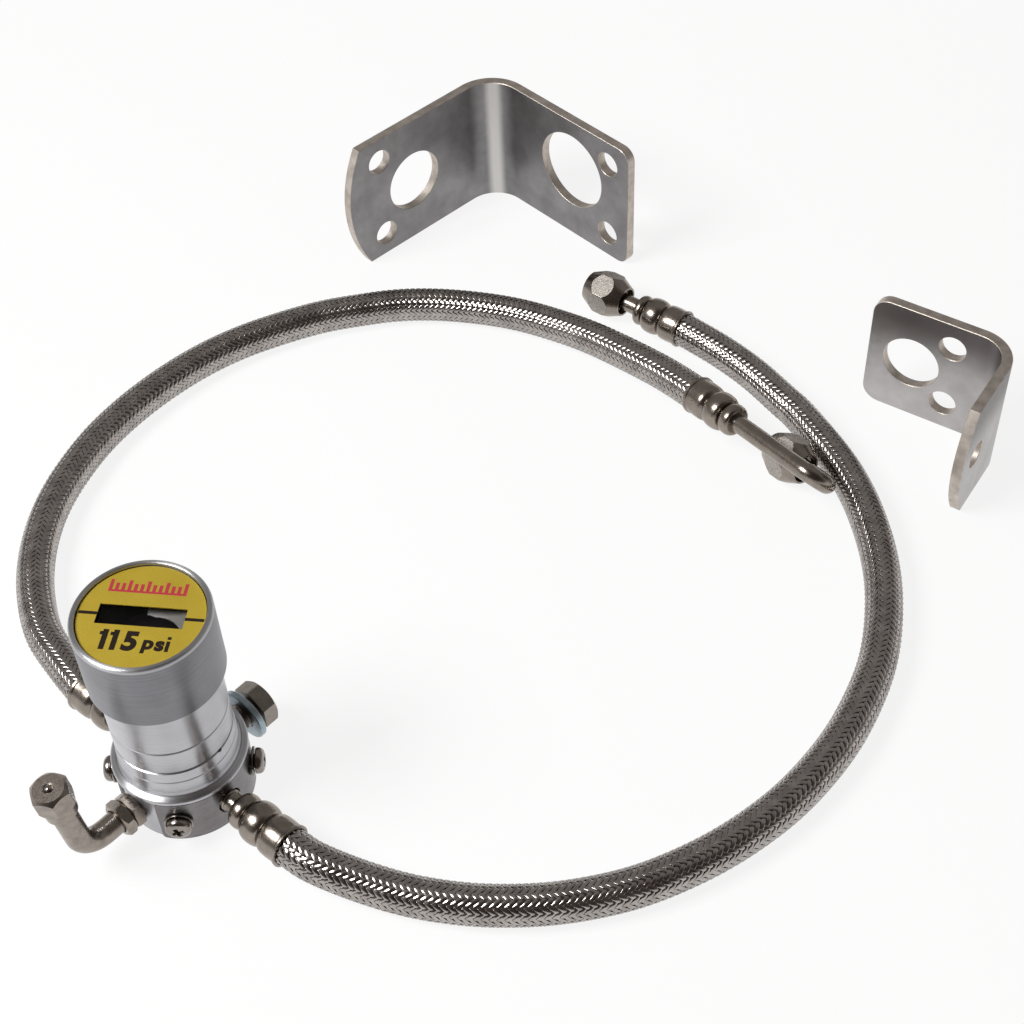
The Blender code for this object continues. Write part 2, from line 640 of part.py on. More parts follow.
CHECK_HEAD_LOW = CHAMBER_FLOOR + GAP
PISTON_LOW = CHECK_HEAD_LOW + CHECK_HEAD + GAP
PISTON_HIGH = PISTON_LOW + PISTON_HEIGHT
INDICATOR_TOP = DIAL_SEAT + GAP - INDICATOR_CLEARANCE - PISTON_TRAVEL
ROD_HIGH = INDICATOR_TOP - INDICATOR_THICKNESS - GAP
piston_axis = joint_empty("piston_slide", upright(PISTON_LOW))
seal_low = PISTON_LOW + PISTON_HEIGHT / 2 - PISTON_SEAL_WIRE - GAP
seal_high = PISTON_LOW + PISTON_HEIGHT / 2 + PISTON_SEAL_WIRE + GAP
groove_floor = PISTON_RADIUS - 2 * PISTON_SEAL_WIRE - GAP
piston_profile = [
    (0, 0),
    (PISTON_RADIUS, 0),
    (PISTON_RADIUS, seal_low - PISTON_LOW),
    (groove_floor, seal_low - PISTON_LOW),
    (groove_floor, seal_high - PISTON_LOW),
    (PISTON_RADIUS, seal_high - PISTON_LOW),
    (PISTON_RADIUS, PISTON_HEIGHT),
    (ROD_RADIUS, PISTON_HEIGHT),
    (ROD_RADIUS, ROD_HIGH - PISTON_LOW),
    (0, ROD_HIGH - PISTON_LOW),
]
add_mesh("piston", turned(piston_profile, INNER_SIDES), BRASS, upright(PISTON_LOW), piston_axis)
add_mesh("piston_seal", o_ring(PISTON_RADIUS - PISTON_SEAL_WIRE, PISTON_SEAL_WIRE, INNER_SIDES),
         RUBBER, upright(PISTON_LOW + PISTON_HEIGHT / 2), piston_axis)
hub_low = INDICATOR_TOP - INDICATOR_THICKNESS - INDICATOR_HUB_HEIGHT
adjuster_low = hub_low - ADJUSTER_CLEARANCE - ADJUSTER_THICKNESS
indicator_profile = [
    (0, INDICATOR_TOP),
    (INDICATOR_RADIUS, INDICATOR_TOP),
    (INDICATOR_RADIUS, INDICATOR_TOP - INDICATOR_THICKNESS),
    (INDICATOR_HUB_RADIUS, INDICATOR_TOP - INDICATOR_THICKNESS),
    (INDICATOR_HUB_RADIUS, hub_low),
    (ROD_RADIUS + GAP, hub_low),
    (ROD_RADIUS + GAP, ROD_HIGH + GAP),
    (0, ROD_HIGH + GAP),
]
add_mesh("indicator", turned(indicator_profile, INNER_SIDES), BLACK_PLASTIC, upright(), piston_axis)
spring("sensing_spring", SPRING_MEAN_RADIUS, SPRING_WIRE, SPRING_TURNS, PISTON_HIGH,
       adjuster_low, SPRING_STEEL, upright())
adjusting_ring = add_mesh(
    "adjusting_ring",
    tube(ROD_RADIUS + ROD_GAP, HOUSING_BORE - GAP, 0, ADJUSTER_THICKNESS, INNER_SIDES),
    BRASS,
    upright(adjuster_low),
)
spanner_line = heading_of(180 / INNER_SIDES)
for side in (-1, 1):
    cut(adjusting_ring, rod(SPANNER_HOLE_RADIUS, -GAP, ADJUSTER_THICKNESS + GAP, BORE_SIDES),
        Matrix.Translation(spanner_line * side * SPANNER_HOLE_REACH) @ upright(adjuster_low))

for letter, heading in (("a", HOSE_A_HEADING), ("b", HOSE_B_HEADING)):
    seat = Matrix.Translation(heading_of(heading) * CHECK_REACH + Vector((0, 0, CHECK_HEAD_LOW)))
    check_profile = [
        (0, CHECK_HEAD),
        (CHECK_HEAD_RADIUS, CHECK_HEAD),
        (CHECK_HEAD_RADIUS, 0),
        (CHECK_STEM_RADIUS, 0),
        (CHECK_STEM_RADIUS, -CHECK_STEM_LENGTH),
        (0, -CHECK_STEM_LENGTH),
    ]
    add_mesh(f"check_valve_{letter}", turned(check_profile, SMALL_SIDES), BRASS, seat)
    spring(f"check_spring_{letter}", CHECK_SPRING_RADIUS, CHECK_SPRING_WIRE, CHECK_SPRING_TURNS,
           POCKET_FLOOR - CHECK_HEAD_LOW, 0, SPRING_STEEL, seat)


# ---------------------------------------------------------------- mounting bolt and lock washer

bolt_place = at_port(BOLT_HEADING, BOLT_REACH)
bolt_axis = joint_empty("bolt_turn", bolt_place)
bolt_corner = BOLT_ACROSS_FLATS / 3 ** 0.5 + GAP
bolt_end = BOLT_ACROSS_FLATS / 2 - EDGE_BREAK
bolt_chamfer = (bolt_corner - bolt_end) * BOLT_CHAMFER_SLOPE
mounting_bolt = hexagon(
    "mounting_bolt", BOLT_ACROSS_FLATS,
    [(bolt_corner, 0), (bolt_corner, BOLT_HEAD - bolt_chamfer), (bolt_end, BOLT_HEAD)],
    SCREW_STEEL, bolt_place, bolt_axis,
)
shank = rod(BOLT_RADIUS, BOLT_FLOOR + GAP - BOLT_REACH, BOLT_HEAD / 2, FITTING_SIDES)
cut(mounting_bolt, shank, bolt_place, "UNION")

washer_bm = bmesh.new()
washer_corners = [
    (BOLT_RADIUS + GAP, 0),
    (LOCK_WASHER_RADIUS, 0),
    (LOCK_WASHER_RADIUS, LOCK_WASHER_SECTION),
    (BOLT_RADIUS + GAP, LOCK_WASHER_SECTION),
]
washer_face = washer_bm.faces.new(
    [washer_bm.verts.new((radius, 0, height)) for radius, height in washer_corners]
)
washer_steps = 22
bmesh.ops.spin(washer_bm, geom=[washer_face], cent=(0, 0, 0), axis=(0, 0, 1),
               dvec=(0, 0, LOCK_WASHER_OFFSET / washer_steps),
               angle=radians(360 - LOCK_WASHER_SPLIT), steps=washer_steps)
add_mesh("lock_washer", washer_bm, ZINC_PLATE,
         at_port(BOLT_HEADING, LOCK_WASHER_REACH) @ Matrix.Rotation(radians(-60), 4, "Z"), bolt_axis)


# ---------------------------------------------------------------- hoses, ferrules, stems and nuts

def ferrule(name, place):
    """Crimped socket: +Z points from the hose to the fitting."""
    profile = [
        (TAIL_RADIUS + GAP, 0),
        (SLEEVE_RADIUS - EDGE_BREAK, 0),
        (SLEEVE_RADIUS, EDGE_BREAK),
        (SLEEVE_RADIUS, SLEEVE_LENGTH - EDGE_BREAK),
        (FERRULE_WAIST_RADIUS, SLEEVE_LENGTH + EDGE_BREAK),
    ]
    bulge_length = FERRULE_LENGTH - SLEEVE_LENGTH - EDGE_BREAK
    for step in range(1, 6):
        angle = pi * step / 6
        swell = BULGE_RADIUS - FERRULE_WAIST_RADIUS
        profile.append((FERRULE_WAIST_RADIUS + swell * sin(angle),
                        SLEEVE_LENGTH + EDGE_BREAK + bulge_length * (1 - cos(angle)) / 2))
    profile += [(FERRULE_WAIST_RADIUS - EDGE_BREAK, FERRULE_LENGTH),
                (TAIL_RADIUS + GAP, FERRULE_LENGTH)]
    return add_mesh(name, turned(profile, FITTING_SIDES), NICKEL_PLATE, place)


def ring_profile(low):
    """The rounded collar beside the ferrule, from low upwards."""
    half = RING_LENGTH / 2
    points = []
    for step in range(5):
        angle = pi * step / 4
        points.append((RING_RADIUS - EDGE_BREAK * 2 + EDGE_BREAK * 2 * sin(angle),
                       low + half - half * cos(angle)))
    return points


def nipple(name, heading):
    """Threaded nipple from the floor of its port to the hose, +Z pointing out of the unit."""
    start_of_tail = NIPPLE_RING_REACH + RING_LENGTH
    hose_face = start_of_tail + GAP + FERRULE_LENGTH
    profile = [
        (NIPPLE_BORE, PORT_FLOOR + GAP),
        (NECK_OF_NIPPLE, PORT_FLOOR + GAP),
        (NECK_OF_NIPPLE, NIPPLE_RING_REACH),
        *ring_profile(NIPPLE_RING_REACH),
        (TAIL_RADIUS, start_of_tail),
        (TAIL_RADIUS, hose_face),
        (NIPPLE_BORE, hose_face),
    ]
    add_mesh(name, turned(profile, FITTING_SIDES), NICKEL_PLATE, at_port(heading, 0))
    return hose_face


def smooth_route(points, spacing):
    """Points about the spacing apart on a smooth curve through the route's points."""
    samples = []
    steps = 16
    ends = [2 * points[0] - points[1], *points, 2 * points[-1] - points[-2]]
    for before, first, last, after in zip(ends, ends[1:], ends[2:], ends[3:]):
        for step in range(steps):
            t = step / steps
            samples.append(0.5 * (2 * first + (last - before) * t
                                  + (2 * before - 5 * first + 4 * last - after) * t ** 2
                                  + (3 * first - before - 3 * last + after) * t ** 3))
    samples.append(points[-1])
    lengths = [0.0]
    for first, last in zip(samples, samples[1:]):
        lengths.append(lengths[-1] + (last - first).length)
    count = round(lengths[-1] / spacing)
    picked = []
    index = 0
    for step in range(count + 1):
        wanted = lengths[-1] * step / count
        while index < len(lengths) - 2 and lengths[index + 1] < wanted:
            index += 1
        share = (wanted - lengths[index]) / (lengths[index + 1] - lengths[index])
        picked.append(samples[index].lerp(samples[index + 1], share))
    return picked, lengths[-1]


def hose(name, heading, hose_face, route, outlet, outlet_direction):
    """Braided hose between the faces of its two ferrules, straight for a diameter at each end."""
    inlet_direction = heading_of(heading)
    first = inlet_direction * (hose_face + GAP) + Vector((0, 0, PORT_HEIGHT))
    last = outlet - outlet_direction * GAP
    straight = HOSE_RADIUS
    inner = [Vector(point) for point in route]
    line = [first + inlet_direction * straight, *inner, last - outlet_direction * straight]
    picked, length = smooth_route(line, HOSE_SPACING)
    curve = bpy.data.curves.new(name, "CURVE")
    curve.dimensions = "3D"
    curve.bevel_depth = HOSE_RADIUS
    curve.bevel_resolution = 4
    curve.use_fill_caps = True
    spline = curve.splines.new("POLY")
    points = [first, *picked, last]
    spline.points.add(len(points) - 1)
    for point, place in zip(spline.points, points):
        point.co = (*place, 1)
    print(f"{name}: {length + 2 * straight:.4f} m, {len(points)} points")
    return add_object(name, curve, WIRE_BRAID, Matrix.Identity(4))


def swivel_nut(letter, place):
    """Hexagon nut: +Z points from its mouth to its back, where the stem comes in."""
    axis = joint_empty(f"nut_{letter}_turn", place)
    nut = hexagon(f"swivel_nut_{letter}", NUT_ACROSS_FLATS,
                  chamfered(NUT_ACROSS_FLATS, 0, NUT_LENGTH, NUT_END_RADIUS, NUT_CHAMFER_SLOPE),
                  NICKEL_PLATE, place, axis)
    cavity_high = NUT_LENGTH - NUT_BACK_WALL
    cavity_low = cavity_high - NUT_CAVITY
    bore = [
        (0, -GAP),
        (NUT_MOUTH_RADIUS, -GAP),
        (NUT_MOUTH_RADIUS, cavity_low),
        (FLANGE_OF_STEM + GAP, cavity_low),
        (FLANGE_OF_STEM + GAP, cavity_high),
        (STEM_RADIUS + GAP, cavity_high),
        (STEM_RADIUS + GAP, NUT_LENGTH + GAP),
        (0, NUT_LENGTH + GAP),
    ]
    cut(nut, turned(bore, FITTING_SIDES), place)
    seal_top = cavity_high - GAP - FLANGE_THICKNESS - GAP
    add_mesh(f"swivel_seal_{letter}",
             tube(NIPPLE_BORE, NUT_MOUTH_RADIUS - GAP, seal_top - NUT_SEAL, seal_top,
                  FITTING_SIDES), RUBBER, place, axis)


# Where the stem's flange lies behind the nut's mouth
FLANGE_FRONT = NUT_LENGTH - NUT_BACK_WALL - GAP - FLANGE_THICKNESS
RING_FACE = FERRULE_LENGTH + GAP + RING_LENGTH

hose_a_face = nipple("hose_a_nipple", HOSE_A_HEADING)
hose_b_face = nipple("hose_b_nipple", HOSE_B_HEADING)
for letter, heading, face in (("a", HOSE_A_HEADING, hose_a_face), ("b", HOSE_B_HEADING, hose_b_face)):
    inlet = heading_of(heading) * face + Vector((0, 0, PORT_HEIGHT))
    ferrule(f"hose_{letter}_inlet_ferrule", along(inlet, -heading_of(heading)))

outlet_a = Vector(HOSE_A_OUTLET)
direction_a = heading_of(HOSE_A_OUTLET_HEADING)
hose("hose_a", HOSE_A_HEADING, hose_a_face, HOSE_A_ROUTE, outlet_a, direction_a)
ferrule("hose_a_outlet_ferrule", along(outlet_a, direction_a))
nut_a_back = RING_FACE + HOSE_A_STEM_LENGTH
flange_a = nut_a_back + NUT_LENGTH - FLANGE_FRONT
stem_profile = [
    (NIPPLE_BORE, 0),
    (TAIL_RADIUS, 0),
    (TAIL_RADIUS, FERRULE_LENGTH + GAP),
    *ring_profile(FERRULE_LENGTH + GAP),
    (STEM_RADIUS, RING_FACE),
    (STEM_RADIUS, flange_a - FLANGE_THICKNESS),
    (FLANGE_OF_STEM, flange_a - FLANGE_THICKNESS),
    (FLANGE_OF_STEM, flange_a),
    (NIPPLE_BORE, flange_a),
]
add_mesh("hose_a_stem", turned(stem_profile, FITTING_SIDES), NICKEL_PLATE,
         along(outlet_a, direction_a))
swivel_nut("a", along(outlet_a + direction_a * (nut_a_back + NUT_LENGTH), -direction_a))

outlet_b = Vector(HOSE_B_OUTLET)
direction_b = (heading_of(HOSE_B_OUTLET_HEADING) * cos(radians(HOSE_B_OUTLET_RISE))
               + Vector((0, 0, sin(radians(HOSE_B_OUTLET_RISE)))))
hose("hose_b", HOSE_B_HEADING, hose_b_face, HOSE_B_ROUTE, outlet_b, direction_b)
ferrule("hose_b_outlet_ferrule", along(outlet_b, direction_b))
side_b = Vector(BEND_SIDE)
side_b = (side_b - direction_b * side_b.dot(direction_b)).normalized()
ring_face_b = outlet_b + direction_b * RING_FACE
TINY = 0.00002  # between two stations where the bar changes its radius in a step
stations = [(outlet_b, TAIL_RADIUS), (outlet_b + direction_b * (FERRULE_LENGTH + GAP), TAIL_RADIUS)]
for radius, reach in ring_profile(FERRULE_LENGTH + GAP + TINY):
    stations.append((outlet_b + direction_b * reach, radius))
stations.append((ring_face_b + direction_b * 2 * TINY, STEM_RADIUS))
bend_centre = ring_face_b + direction_b * BEND_START + side_b * BEND_RADIUS
for step in range(BEND_STEPS + 1):
    angle = pi * step / BEND_STEPS
    stations.append((bend_centre + direction_b * (BEND_RADIUS * sin(angle))
                     - side_b * (BEND_RADIUS * cos(angle)), STEM_RADIUS))
nut_b_mouth = ring_face_b + direction_b * NUT_B_START + side_b * 2 * BEND_RADIUS
flange_back = nut_b_mouth + direction_b * (FLANGE_FRONT + FLANGE_THICKNESS)
stations += [
    (flange_back + direction_b * TINY, STEM_RADIUS),
    (flange_back, FLANGE_OF_STEM),
    (nut_b_mouth + direction_b * FLANGE_FRONT, FLANGE_OF_STEM),
]
hose_b_stem = as_mesh(stepped_curve("hose_b_stem", stations, NICKEL_PLATE))
cut(hose_b_stem, rod(NIPPLE_BORE, -GAP, STEM_BORE_DEPTH, BORE_SIDES),
    along(nut_b_mouth + direction_b * FLANGE_FRONT, direction_b))
cut(hose_b_stem, rod(NIPPLE_BORE, -GAP, RING_FACE, BORE_SIDES), along(outlet_b, direction_b))
swivel_nut("b", along(nut_b_mouth, direction_b))


# ---------------------------------------------------------------- fill tube, core and cap

out = heading_of(FILL_HEADING)
UP = Vector((0, 0, 1))
leg_direction = out * sin(radians(FILL_LEAN)) + UP * cos(radians(FILL_LEAN))
fill_stations = [
    (out * (PORT_FLOOR + GAP) + UP * PORT_HEIGHT, FILL_TUBE_RADIUS),
    (out * FILL_BEND_START + UP * PORT_HEIGHT, FILL_TUBE_RADIUS),
]
fill_centre = out * FILL_BEND_START + UP * (PORT_HEIGHT + FILL_BEND_RADIUS)
for step in range(1, BEND_STEPS):
    angle = radians(90 - FILL_LEAN) * step / (BEND_STEPS - 1)
    fill_stations.append((fill_centre + out * (FILL_BEND_RADIUS * sin(angle))
                          - UP * (FILL_BEND_RADIUS * cos(angle)), FILL_TUBE_RADIUS))
leg_start = fill_stations[-1][0]
leg_end = leg_start + leg_direction * FILL_LEG
fill_stations.append((leg_end, FILL_TUBE_RADIUS))
fill_elbow = as_mesh(stepped_curve("fill_elbow", fill_stations, NICKEL_PLATE))
leg_place = along(leg_end, leg_direction)
core_low = -CORE_RECESS - CORE_LENGTH
cut(fill_elbow, rod(CORE_RADIUS + GAP, core_low - CORE_POCKET, GAP, SMALL_SIDES), leg_place)

fill_nut = hexagon("fill_elbow_nut", FILL_NUT_ACROSS_FLATS,
                   chamfered(FILL_NUT_ACROSS_FLATS, 0, FILL_NUT_LENGTH,
                             FILL_NUT_ACROSS_FLATS / 2 - EDGE_BREAK, 1.6),
                   NICKEL_PLATE, at_port(FILL_HEADING, FILL_NUT_REACH))
cut(fill_nut, rod(FILL_TUBE_RADIUS + GAP, -GAP, FILL_NUT_LENGTH + GAP, FITTING_SIDES),
    at_port(FILL_HEADING, FILL_NUT_REACH))

CAP_INSIDE = GAP + CAP_SEAL + GAP  # from the tube's end to the cap's roof
CAP_FACE = CAP_INSIDE + CAP_ROOF
cap_axis = joint_empty("fill_cap_turn", leg_place)
cap_corner = CAP_ACROSS_FLATS / 3 ** 0.5 + GAP
fill_cap = hexagon("fill_cap", CAP_ACROSS_FLATS,
                   [(CAP_FOOT_RADIUS, CAP_FACE - CAP_LENGTH),
                    (CAP_FOOT_RADIUS, CAP_FACE - CAP_HEXAGON - 2 * (cap_corner - CAP_FOOT_RADIUS)),
                    (cap_corner, CAP_FACE - CAP_HEXAGON),
                    (cap_corner, CAP_FACE - (cap_corner - CAP_FACE_RADIUS)),
                    (CAP_FACE_RADIUS, CAP_FACE)],
                   NICKEL_PLATE, leg_place, cap_axis)
cap_bore = [
    (0, CAP_FACE - CAP_LENGTH - GAP),
    (FILL_TUBE_RADIUS + GAP, CAP_FACE - CAP_LENGTH - GAP),
    (FILL_TUBE_RADIUS + GAP, CAP_INSIDE),
    (PIN_RADIUS + GAP, CAP_INSIDE),
    (PIN_RADIUS + GAP, CAP_FACE - CAP_DIMPLE_DEPTH),
    (CAP_DIMPLE_RADIUS, CAP_FACE + GAP),
    (0, CAP_FACE + GAP),
]
cut(fill_cap, turned(cap_bore, FITTING_SIDES), leg_place)
add_mesh("fill_cap_seal", tube(CORE_RADIUS, FILL_TUBE_RADIUS, GAP, GAP + CAP_SEAL, FITTING_SIDES),
         RUBBER, leg_place, cap_axis)

core_lip_top = core_low + CORE_LIP
core_profile = [
    (PIN_RADIUS + GAP, core_low),
    (CORE_RADIUS, core_low),
    (CORE_RADIUS, -CORE_RECESS),
    (CORE_BORE, -CORE_RECESS),
    (CORE_BORE, core_lip_top),
    (PIN_RADIUS + GAP, core_lip_top),
]
add_mesh("fill_core", turned(core_profile, SMALL_SIDES), BRASS, leg_place)
pin_slide = joint_empty("fill_pin_slide", leg_place)
pin_meeting = -CORE_RECESS
pin_head = core_low - GAP
collar_low = pin_meeting - 2 * PIN_TRAVEL
core_pin_profile = [
    (0, pin_meeting),
    (PIN_RADIUS, pin_meeting),
    (PIN_RADIUS, collar_low + CORE_LIP),
    (CORE_BORE - GAP, collar_low + CORE_LIP),
    (CORE_BORE - GAP, collar_low),
    (PIN_RADIUS, collar_low),
    (PIN_RADIUS, pin_head),
    (PIN_SEAL_RADIUS, pin_head),
    (PIN_SEAL_RADIUS, pin_head - PIN_SEAL_THICKNESS),
    (0, pin_head - PIN_SEAL_THICKNESS),
]
add_mesh("fill_core_pin", turned(core_pin_profile, SMALL_SIDES), BRASS, leg_place, pin_slide)
spring("fill_core_spring", CORE_SPRING_RADIUS, CORE_SPRING_WIRE, CORE_SPRING_TURNS,
       core_lip_top, collar_low, SPRING_STEEL, leg_place)
cap_pin_top = CAP_FACE - CAP_PIN_RECESS
cap_pin_shoulder = CAP_INSIDE - GAP
cap_pin_profile = [
    (0, cap_pin_top),
    (PIN_RADIUS, cap_pin_top),
    (PIN_RADIUS, cap_pin_shoulder),
    (CORE_BORE, cap_pin_shoulder),
    (CORE_BORE, cap_pin_shoulder - EDGE_BREAK),
    (PIN_RADIUS, cap_pin_shoulder - EDGE_BREAK),
    (PIN_RADIUS, pin_meeting + GAP),
    (0, pin_meeting + GAP),
]
add_mesh("fill_cap_pin", turned(cap_pin_profile, SMALL_SIDES), SCREW_STEEL, leg_place, pin_slide)


# ---------------------------------------------------------------- brackets

def hole_edge(along_strip, height, radius):
    """Points round a hole: a big hole gets more of them."""
    steps = 24 if radius <= BOLT_HOLE_RADIUS else 32
    angles = [2 * pi * k / steps for k in range(steps)]
    return [(along_strip + radius * cos(a), height + radius * sin(a)) for a in angles]


def bulged_end(along_strip, sign, height, bulge, steps=12):
    """Arc of a rounded end, from the strip's low edge to its high edge when sign is +1."""
    radius = (height ** 2 / 4 + bulge ** 2) / (2 * bulge)
    points = []
    for step in range(steps + 1):
        offset = height * (step / steps - 0.5)
        reach = (radius ** 2 - offset ** 2) ** 0.5 - (radius - bulge)
        points.append((along_strip + sign * reach, height / 2 + sign * offset))
    return points


def square_end(along_strip, sign, height, corner, steps=4):
    """Square end with two rounded corners, from the low edge to the high edge when sign is +1."""
    points = []
    for turn, edge in ((-90, corner), (0, height - corner)):
        for step in range(steps + 1):
            angle = radians(turn + 90 * step / steps)
            points.append((along_strip + sign * (corner * cos(angle) - corner),
                           height / 2 + sign * (edge - height / 2 + corner * sin(angle))))
    return points


def bracket(name, height, bend_radius, legs, ends, holes, place):
    """L-shaped bracket: a flat blank with its holes is given its thickness and bent by 90 degrees.

    Legs, ends and holes come in pairs, for the first leg and the second. The blank's first
    coordinate runs along the strip, on the face that ends up inside the bend.
    In the bent bracket the legs' inner faces meet at the origin: the first leg comes along +X to
    it and the second leaves it along -Y.
    """
    bend_from = legs[0] - bend_radius
    bend_to = bend_from + bend_radius * pi / 2
    length = bend_to + legs[1] - bend_radius
    loops = [ends[0](0, -1, height) + ends[1](length, 1, height)]
    loops += [hole_edge(reach, z, radius) for reach, z, radius in holes[0]]
    loops += [hole_edge(length - reach, z, radius) for reach, z, radius in holes[1]]
    bm = bmesh.new()
    edges = []
    for loop in loops:
        verts = [bm.verts.new((s, 0, z)) for s, z in loop]
        edges += [bm.edges.new(pair) for pair in zip(verts, verts[1:] + verts[:1])]
    bmesh.ops.triangle_fill(bm, edges=edges, use_beauty=True)
    for step in range(BEND_SLICES + 1):
        across = bend_from + (bend_to - bend_from) * step / BEND_SLICES
        bmesh.ops.bisect_plane(bm, geom=bm.verts[:] + bm.edges[:] + bm.faces[:], dist=1e-7,
                               plane_co=(across, 0, 0), plane_no=(1, 0, 0))
    grown = bmesh.ops.extrude_face_region(bm, geom=bm.faces[:])
    raised = [item for item in grown["geom"] if isinstance(item, bmesh.types.BMVert)]
    bmesh.ops.translate(bm, vec=(0, SHEET, 0), verts=raised)
    for vert in bm.verts:
        s, thick, z = vert.co
        if s <= bend_from:
            vert.co = (s - legs[0], thick, z)
        elif s >= bend_to:
            vert.co = (thick, bend_to - bend_radius - s, z)
        else:
            angle = pi / 2 - (s - bend_from) / bend_radius
            reach = bend_radius + thick
            vert.co = (reach * cos(angle) - bend_radius, reach * sin(angle) - bend_radius, z)
    bmesh.ops.triangulate(bm, faces=bm.faces)
    return add_mesh(name, bm, STAINLESS_SHEET, place)


def standing_at(place, heading):
    return Matrix.Translation((*place, 0)) @ Matrix.Rotation(radians(heading), 4, "Z")


bracket("bracket_large", LARGE_HEIGHT, LARGE_BEND_RADIUS, (LARGE_TONGUE, LARGE_LEG),
        (lambda s, sign, height: bulged_end(s, sign, height, LARGE_BULGE),
         lambda s, sign, height: square_end(s, sign, height, LARGE_CORNER)),
        (LARGE_TONGUE_HOLES, LARGE_LEG_HOLES), standing_at(LARGE_PLACE, LARGE_HEADING))
bracket("bracket_small", SMALL_HEIGHT, SMALL_BEND_RADIUS, (SMALL_LEG, SMALL_TONGUE),
        (lambda s, sign, height: square_end(s, sign, height, SMALL_CORNER),
         lambda s, sign, height: bulged_end(s, sign, height, SMALL_BULGE)),
        (SMALL_LEG_HOLES, SMALL_TONGUE_HOLES), standing_at(SMALL_PLACE, SMALL_HEADING))
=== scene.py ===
from math import cos, pi, radians, sin

import bmesh
import bpy
from mathutils import Matrix, Vector


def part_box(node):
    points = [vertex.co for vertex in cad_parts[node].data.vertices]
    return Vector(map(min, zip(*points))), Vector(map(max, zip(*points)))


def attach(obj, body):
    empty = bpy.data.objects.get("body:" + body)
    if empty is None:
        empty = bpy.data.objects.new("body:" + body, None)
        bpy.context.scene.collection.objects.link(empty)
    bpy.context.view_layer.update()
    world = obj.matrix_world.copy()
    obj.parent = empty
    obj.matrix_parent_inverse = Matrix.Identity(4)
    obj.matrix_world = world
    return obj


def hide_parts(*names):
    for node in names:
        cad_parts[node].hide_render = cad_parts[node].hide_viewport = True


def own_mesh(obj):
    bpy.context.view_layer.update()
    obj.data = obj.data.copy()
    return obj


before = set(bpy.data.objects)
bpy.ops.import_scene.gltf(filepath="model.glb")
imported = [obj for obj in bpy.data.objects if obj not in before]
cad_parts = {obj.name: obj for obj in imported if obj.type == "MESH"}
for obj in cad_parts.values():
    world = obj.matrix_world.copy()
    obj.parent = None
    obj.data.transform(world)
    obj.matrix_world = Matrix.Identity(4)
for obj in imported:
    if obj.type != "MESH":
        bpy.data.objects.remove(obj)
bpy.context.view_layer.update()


# The distance and the lens are those at which the valve unit, the hoses' loops and the two
# brackets all fill the photograph's frame.

CAMERA_PLACE = Vector((0.09795, -0.3028, 0.443))
CAMERA_RIGHT = Vector((0.9986, -0.0387, -0.0352)).normalized()
CAMERA_BACK = Vector((0, -0.6730, 0.7396)).normalized()
SENSOR_WIDTH = 36
FOCAL_LENGTH = 1820 / 1024  # in widths of the sensor
NEAREST_SEEN = 0.01
camera_up = CAMERA_BACK.cross(CAMERA_RIGHT).normalized()
camera_data = bpy.data.cameras.new("camera")
camera_data.sensor_width = SENSOR_WIDTH
camera_data.lens = FOCAL_LENGTH * SENSOR_WIDTH
camera_data.clip_start = NEAREST_SEEN
camera = bpy.data.objects.new("camera", camera_data)
bpy.context.scene.collection.objects.link(camera)
camera_turn = Matrix((camera_up.cross(CAMERA_BACK), camera_up, CAMERA_BACK)).transposed()
camera.matrix_world = Matrix.Translation(CAMERA_PLACE) @ camera_turn.to_4x4()
bpy.context.scene.camera = camera


# ------------------------------------------------------------------ hoses
# Rubber hose under a braid of stainless wire, 11.7 mm thick. The braid has 18 flat strands each
# way, laid at 45 degrees, each over two and under two of the others.

